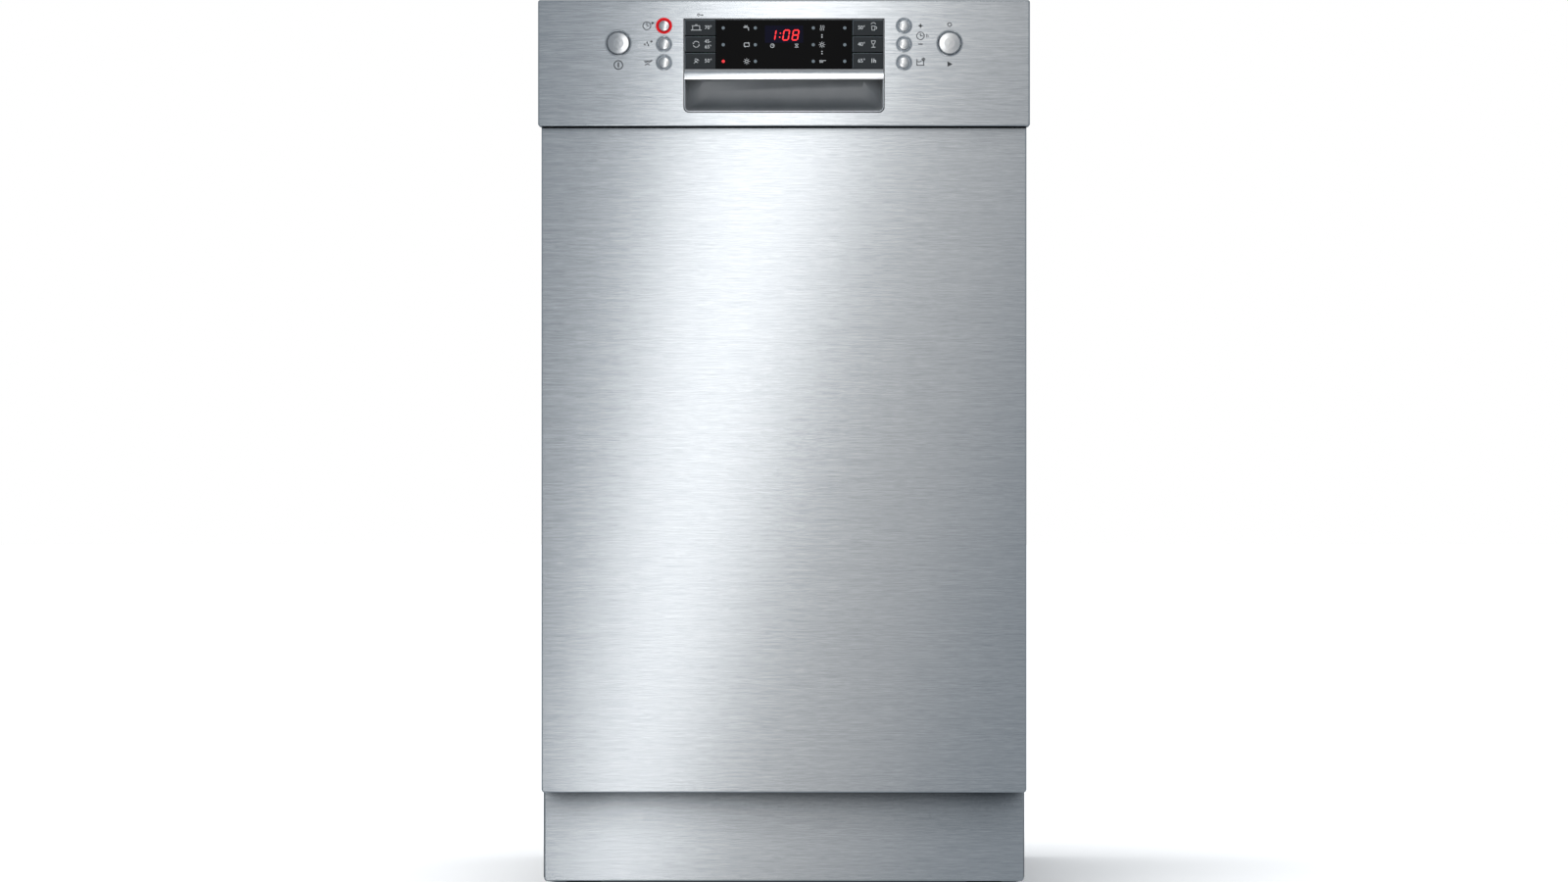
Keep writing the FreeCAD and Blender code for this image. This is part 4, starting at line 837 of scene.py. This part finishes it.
def display_artwork():
    """The lamps, pictograms and lit time on the black lens."""
    low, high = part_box("display_window")
    front = low.y
    centre = (0.0, (low.z + high.z) / 2)
    rows = (15.0, -0.3, -15.4)
    columns = (-55.3, -26.1, 26.7, 55.3)
    lit_lamp = (columns[0], rows[2])
    lamps, red = Print(front).at(*centre), Print(front).at(*centre)
    for u in columns:
        for v in rows:
            target = red if (u, v) == lit_lamp else lamps
            target.disc(u, v, 1.5)
    lamps.done("lamps_off", "door", UNLIT_LAMP_AND_KEY_HIGHLIGHT)
    red.done("lamp_lit", "door", LAMP_RED)
    signs = Print(front).at(*centre)
    draw_tap(signs, -34.0, rows[0])
    draw_salt(signs, -34.0, rows[1])
    draw_spark(signs, -34.0, rows[2], 2.9)
    draw_steam(signs, 34.6, rows[0])
    draw_spark(signs, 34.6, rows[1], 2.9)
    draw_brush(signs, 34.9, rows[2])
    for v in (8.6, 6.6, -6.4, -8.4):
        signs.disc(34.6, v, 0.62, 8)
    draw_clock(signs, -10.6, -1.2, 1.7)
    signs.line([(9.8, 0.3), (13.2, 0.3), (9.8, -2.7), (13.2, -2.7)], 0.35, closed=True)
    signs.done("display_signs", "door", INK_LIGHT)
    pane = Print(front).at(*centre)
    pane.slab([(-17.4, 1.5), (17.4, 1.5), (17.4, 17.2), (-17.4, 17.2)])
    pane.done("digit_pane", "door", DIGIT_PANE)
    time = Print(front - Print.THICKNESS * MM).at(*centre)
    digit(time, "1", -13.6, 4.0, 5.0, 9.0)
    digit(time, "0", -1.3, 4.0, 5.0, 9.0)
    digit(time, "8", 7.2, 4.0, 5.0, 9.0)
    for v in (6.6, 10.2):
        time.disc(-5.0 + 0.17 * v, v, 0.62, 12)
    time.done("digits", "door", DIGIT_RED)


def fascia_artwork():
    """Dark printed pictograms beside the round buttons."""
    art = Print(FASCIA_FRONT, 1.5)

    def beside(node, du, dv=0.0):
        return art.at(middle(node).x + du * MM, middle(node).z + dv * MM)

    beside("button_power", 0, -19.8)
    art.arc(0, 0, 3.9, width=0.5, steps=32)
    art.line([(0, -1.7), (0, 1.7)], 0.75)
    beside("button_left_upper", -15.0)
    draw_clock(art, -0.6, 0, 3.6)
    draw_plus(art, 4.6, 2.4, 0.9, 0.5)
    beside("button_left_middle", -16.0)
    draw_droplets(art, 0, 0)
    draw_plus(art, 4.6, 2.4, 0.9, 0.4)
    beside("button_left_lower", -14.6)
    draw_half_load(art, 0, 0)
    beside("button_right_upper", 15.0)
    draw_plus(art, 0, 0, 1.4, 0.65)
    beside("button_right_upper", 15.0, -9.2)
    draw_clock(art, 0, 0, 3.4)
    art.number("h", 6.3, 0, 3.4)
    beside("button_right_middle", 15.0)
    art.line([(-1.5, 0), (1.5, 0)], 0.6)
    beside("button_right_lower", 15.0, 0.4)
    draw_care(art, 0, 0)
    beside("button_start", 0, 17.0)
    draw_cycle(art, 0, 0, 1.7)
    beside("button_start", 0, -19.0)
    art.slab([(-1.9, -2.4), (2.6, 0), (-1.9, 2.4)])
    low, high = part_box("key_left_upper")
    art.at((low.x + high.x) / 2, high.z + 4.6 * MM)
    draw_key(art, 0, 0)
    art.done("fascia_signs", "door", INK_DARK)


# ---- inside: racks, basket, springs and screws -----------------------------------------------------------


LOWER_RACK_HALF, LOWER_RACK_FLOOR = 0.176, 0.204
UPPER_RACK_HALF = 0.174
SPRING_X = 0.208
SCREW_RADIUS = 3.0 * MM
REAR_SCREW_MIDDLE = 0.46
LINER_SCREW_HEIGHTS = (0.215, 0.79)


def show_slot(name, mesh, body, slot, smooth=35):
    """Shows a mesh in the material of its own slot."""
    return show(name, mesh, body, MATERIALS[slot], smooth)


def rack(node, half, zs, levels, counts, tines):
    """A basket of coated wire: hoops both ways, loops round its walls, a thick rim and rows of tines."""
    thin, thick, lean = 1.6 * MM, 2.4 * MM, 3 * MM
    low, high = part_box(node)
    front, back = low.y + thick, high.y - thick
    wall = half - thick
    floor, rim = zs[0] + 2 * thin, zs[1] - thick

    def loop(z, inset):
        x, y0, y1 = wall - inset, front + inset, back - inset
        corners = [(0, y0, z), (x, y0, z), (x, y1, z), (-x, y1, z), (-x, y0, z), (0, y0, z)]
        return bent(corners, 14 * MM)[:-1]

    hoops = []
    for y in spread(front + 16 * MM, back - 16 * MM, counts[1]):
        side = wall - thin
        hoops.append(bent([(-side, y, rim), (-side, y, floor), (side, y, floor), (side, y, rim)], 12 * MM))
    for x in spread(16 * MM - wall, wall - 16 * MM, counts[0]):
        near, far, level = front + thin, back - thin, floor - 2 * thin
        hoops.append(bent([(x, near, rim), (x, near, level), (x, far, level), (x, far, rim)], 12 * MM))
    rows, tine_height, first_y, last_y, tine_count = tines
    for x in rows:
        for y in spread(first_y, last_y, tine_count):
            hoops.append([Vector((x, y, floor)), Vector((x, y, floor + tine_height * 0.5)),
                          Vector((x + lean, y, floor + tine_height))])
    coat = MATERIALS["rack_coat"]
    mesh = wires_mesh(node + "_wires", hoops, thin)
    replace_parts(show(node + "_wires", mesh, node, coat, 60), node)
    mesh = wires_mesh(node + "_loops", [loop(z, 2 * thin) for z in levels], thin, closed=True)
    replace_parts(show(node + "_loops", mesh, node, coat, 60), node)
    mesh = wires_mesh(node + "_rim", [loop(rim, 0)], thick, closed=True)
    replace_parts(show(node + "_rim", mesh, node, coat, 60), node)


def lower_rack():
    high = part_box("lower_rack")[1]
    half, floor = LOWER_RACK_HALF, LOWER_RACK_FLOOR
    levels = spread(floor + 24 * MM, high.z - 26 * MM, 4)
    tines = ((-0.045, 0.010, 0.080, 0.135), 0.062, -0.185, 0.205, 17)
    rack("lower_rack", half, (floor, high.z), levels, (10, 12), tines)
    brackets = []
    for wheels in ("front_wheels", "rear_wheels"):
        hub = middle(wheels)
        for sign in (-1, 1):
            plate = sorted((sign * (half - 6 * MM), sign * (half - 2 * MM)))
            pin = sorted((sign * (half - 4 * MM), sign * (high.x - 0.4 * MM)))
            foot = (plate[0], hub.y - 9 * MM, hub.z - 7.5 * MM)
            brackets.append((foot, (plate[1], hub.y + 9 * MM, floor + 6 * MM)))
            inner = (pin[0], hub.y - 2.4 * MM, hub.z - 2.4 * MM)
            brackets.append((inner, (pin[1], hub.y + 2.4 * MM, hub.z + 2.4 * MM)))
    mesh = bars_mesh("wheel_brackets", brackets, 0.9 * MM)
    piece = show_slot("wheel_brackets", mesh, "lower_rack", "grey_plastic")
    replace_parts(piece, "lower_rack")


def upper_rack():
    low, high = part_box("upper_rack")
    half = UPPER_RACK_HALF
    levels = spread(low.z + 26 * MM, high.z - 28 * MM, 3)
    tines = ((-0.118, -0.062, 0.062, 0.118), 0.040, -0.180, 0.200, 15)
    rack("upper_rack", half, (low.z, high.z), levels, (9, 12), tines)
    runner, rail = [], middle("rack_rails").z
    for sign in (-1, 1):
        web = sorted((sign * (half - 1 * MM), sign * (high.x - 2 * MM)))
        runner.append(((web[0], low.y, rail - 1.6 * MM), (web[1], high.y, rail + 1.6 * MM)))
        edge = sorted((sign * (high.x - 3 * MM), sign * high.x))
        runner.append(((edge[0], low.y, rail - 3.4 * MM), (edge[1], high.y, rail + 3.4 * MM)))
    mesh = bars_mesh("upper_runners", runner, 0.8 * MM)
    piece = show_slot("upper_runners", mesh, "upper_rack", "hinge_steel")
    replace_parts(piece, "upper_rack")
    grip = [(-0.07, low.y + 3 * MM, high.z - 30 * MM), (0.07, low.y + 9 * MM, high.z - 4 * MM)]
    mesh = bars_mesh("upper_grip", [grip], 2.4 * MM)
    show_slot("upper_grip", mesh, "upper_rack", "grey_plastic")


def cutlery_lattice():
    """The basket's slatted walls, cross walls, pierced floor and carrying handle."""
    low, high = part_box("cutlery_basket")
    top = high.z - 42 * MM
    wall, slat, gap = 2.0 * MM, 2.6 * MM, 8.4 * MM
    bars = []

    def slats(fixed, span, axis):
        """One slatted wall: fixed is its (low, high) thickness, span runs along it."""
        count = int((span[1] - span[0]) / gap)
        places = [(p, p + slat) for p in spread(span[0], span[1] - slat, count + 1)]
        for place in places:
            xs, ys = (place, fixed) if axis == "x" else (fixed, place)
            bars.append(((xs[0], ys[0], low.z), (xs[1], ys[1], top)))
        xs, ys = (span, fixed) if axis == "x" else (fixed, span)
        for z in (low.z, low.z + 0.45 * (top - low.z), top - 7 * MM):
            bars.append(((xs[0], ys[0], z), (xs[1], ys[1], z + (7 if z > low.z else 3) * MM)))

    for x in (low.x, high.x - wall):
        slats((x, x + wall), (low.y, high.y), "y")
    for y in spread(low.y, high.y - wall, 5):
        slats((y, y + wall), (low.x, high.x), "x")
    for y in spread(low.y, high.y - slat, 26):
        bars.append(((low.x, y, low.z), (high.x, y + slat, low.z + 1.6 * MM)))
    for x in spread(low.x, high.x - slat, 10):
        bars.append(((x, low.y, low.z), (x + slat, high.y, low.z + 1.6 * MM)))
    mesh = bars_mesh("basket_lattice", bars, 0.35 * MM)
    piece = show_slot("basket_lattice", mesh, "lower_rack", "grey_plastic")
    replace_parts(piece, "cutlery_basket")
    x = (low.x + high.x) / 2
    near, far = low.y + 64 * MM, low.y + 186 * MM
    lift, root = high.z - 5 * MM, top - 18 * MM
    path = bent([(x, near, root), (x, near, lift), (x, far, lift), (x, far, root)], 16 * MM)
    mesh = wires_mesh("basket_handle", [path], 4.6 * MM)
    piece = show_slot("basket_handle", mesh, "lower_rack", "grey_plastic", 60)
    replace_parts(piece, "cutlery_basket")


def balance_springs():
    """Close-wound extension springs that stretch from the tray to the pegs on the door's arms."""
    low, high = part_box("door_springs")
    turns, per_turn = 40, 16
    wire, radius, hook = 0.9 * MM, 6.1 * MM, 3.4 * MM
    centre_z = (low.z + high.z) / 2
    rear, front = high.y - 11 * MM, high.y - 134 * MM
    for side, sign in (("left", -1), ("right", 1)):
        x = sign * SPRING_X
        path = [Vector((x, high.y - wire, centre_z)), Vector((x, rear + 3 * MM, centre_z))]
        for i in range(turns * per_turn + 1):
            angle = 2 * math.pi * i / per_turn
            y = rear + (front - rear) * i / (turns * per_turn)
            path.append(Vector((x + radius * math.sin(angle), y, centre_z + radius * math.cos(angle))))
        path.append(Vector((x, front - 3 * MM, centre_z)))
        peg_y = low.y + 4.3 * MM
        for i in range(13):
            angle = math.radians(-60 + 300 * i / 12)
            path.append(Vector((x, peg_y + hook * math.cos(angle), centre_z + hook * math.sin(angle))))
        name = "spring_" + side
        mesh = wires_mesh(name, [path], wire)
        piece = show_slot(name, mesh, None, "hinge_steel", 60)
        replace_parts(piece, "door_springs")
        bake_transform(piece)


def screw(name, place, body):
    """A domed screw head with a cross recess drawn as near-black raised bars of painted shadow, standing on
    a surface that faces the back.
    """
    radius, axis = SCREW_RADIUS, Y_AXIS
    dome = [(radius, 0.35 * MM), (radius * 0.86, 0.7 * MM), (radius * 0.5, 0.93 * MM), (0.3 * MM, 1.0 * MM)]
    rings = [(0.3 * MM, -0.2 * MM), (radius, -0.2 * MM), *dome]
    mesh = lathe_mesh(name, rings, place, axis, steps=24)
    show(name, mesh, body, SCREW)
    turn = Z_AXIS.rotation_difference(axis)
    arm, width = radius * 0.55, 0.35 * MM
    zs = (0.7 * MM, 1.04 * MM)
    bars = [((-arm, -width, zs[0]), (arm, width, zs[1])), ((-width, -arm, zs[0]), (width, arm, zs[1]))]
    cross = bars_mesh(name + "_slot", bars, 0.05 * MM)
    for vertex in cross.vertices:
        vertex.co = turn @ vertex.co + Vector(place)
    # painted shadow: the cross recess is near-black bars, not a cut
    show(name + "_slot", cross, body, SHADOW_GAP)


def screws():
    low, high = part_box("rear_panel")
    face = low.y + 0.8 * MM
    heights = (low.z + 12 * MM, REAR_SCREW_MIDDLE, high.z - 10 * MM)
    corners = [(x, z) for x in (low.x + 10 * MM, high.x - 10 * MM) for z in heights]
    for i, (x, z) in enumerate(corners):
        screw(f"rear_screw_{i}", (x, face, z), "chassis")
    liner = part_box("door_inner_liner")[1]
    half, sheet = liner.x - 8 * MM, liner.y - 8 * MM
    for i, z in enumerate(spread(*LINER_SCREW_HEIGHTS, 5)):
        for side, sign in (("left", -1), ("right", 1)):
            screw(f"liner_screw_{side}_{i}", (sign * half, sheet, z), "door")


# ---- light, camera and floor -----------------------------------------------------------------------------


def softbox(name, y, corners, strength):
    """A glowing panel in front of the door, with its (x, z) corners, that the camera can't see."""
    mesh = bpy.data.meshes.new(name)
    mesh.from_pydata([(x, y, z) for x, z in corners], [], [(0, 1, 2, 3)])
    panel = bpy.data.objects.new(name, mesh)
    bpy.context.scene.collection.objects.link(panel)
    panel.visible_camera = panel.visible_shadow = panel.visible_diffuse = False
    glow = bpy.data.materials.new(name)
    glow.use_nodes = True
    nodes, links = glow.node_tree.nodes, glow.node_tree.links
    nodes.clear()
    emit, out = nodes.new("ShaderNodeEmission"), nodes.new("ShaderNodeOutputMaterial")
    emit.inputs["Strength"].default_value = strength
    links.new(emit.outputs["Emission"], out.inputs["Surface"])
    mesh.materials.append(glow)


def studio():
    scene = bpy.context.scene
    scene.view_settings.view_transform = "Standard"
    world = bpy.data.worlds.new("studio")
    scene.world = world
    world.use_nodes = True
    nodes, links = world.node_tree.nodes, world.node_tree.links
    nodes.clear()
    path = nodes.new("ShaderNodeLightPath")
    seen, lighting = nodes.new("ShaderNodeBackground"), nodes.new("ShaderNodeBackground")
    seen.inputs["Color"].default_value = (1, 1, 1, 1)
    lighting.inputs["Color"].default_value = (0.80, 0.88, 0.96, 1)
    lighting.inputs["Strength"].default_value = 0.37
    mix, out = nodes.new("ShaderNodeMixShader"), nodes.new("ShaderNodeOutputWorld")
    links.new(path.outputs["Is Camera Ray"], mix.inputs["Fac"])
    links.new(lighting.outputs["Background"], mix.inputs[1])
    links.new(seen.outputs["Background"], mix.inputs[2])
    links.new(mix.outputs["Shader"], out.inputs["Surface"])

    sun = bpy.data.lights.new("overhead", "SUN")
    sun.energy, sun.angle = 3.6, math.radians(50)
    lamp = bpy.data.objects.new("overhead", sun)
    scene.collection.objects.link(lamp)
    lamp.rotation_euler = (math.radians(8), math.radians(-6), 0)
    lamp.visible_glossy = False

    softbox("band", -1.05, [(-0.26, -0.30), (-0.20, -0.30), (0.175, 1.15), (-0.055, 1.15)], 2.1)
    softbox("side_fill", -1.15, [(-0.15, -0.20), (0.06, -0.20), (0.40, 1.2), (0.10, 1.2)], 0.58)

    mesh = bpy.data.meshes.new("floor")
    reach, corners = 20.0, 96
    turns = [2 * math.pi * i / corners for i in range(corners)]
    rim = [(reach * math.cos(turn), reach * math.sin(turn), 0) for turn in turns]
    mesh.from_pydata(rim, [], [tuple(range(corners))])
    floor = bpy.data.objects.new("floor", mesh)
    scene.collection.objects.link(floor)
    floor.visible_glossy = False
    floor.visible_shadow = False
    paper = Shader("studio_floor", 0.6)
    paper.shades(paper.noise(2.0), (0.90, 0.90, 0.90), (0.94, 0.94, 0.94))
    mesh.materials.append(paper.material)


def camera():
    """Straight on and level, far enough away to be nearly parallel, and framed on the front."""
    data = bpy.data.cameras.new("camera")
    made = bpy.data.objects.new("camera", data)
    bpy.context.scene.collection.objects.link(made)
    distance, seen_width, seen_height = 6.0, 1.4278, 0.8032
    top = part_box("fascia_panel")[1].z
    made.location = (0.0, FASCIA_FRONT - distance, top - seen_height / 2)
    made.rotation_euler = (math.radians(90), 0, 0)
    data.lens = data.sensor_width * distance / seen_width
    data.clip_end = 100
    bpy.context.scene.camera = made


camera()
studio()
bezels()
grip_lip()
grip_cup()
insert_rim()
key_edge_highlights()
key_legends()
display_artwork()
fascia_artwork()
lower_rack()
upper_rack()
cutlery_lattice()
balance_springs()
screws()
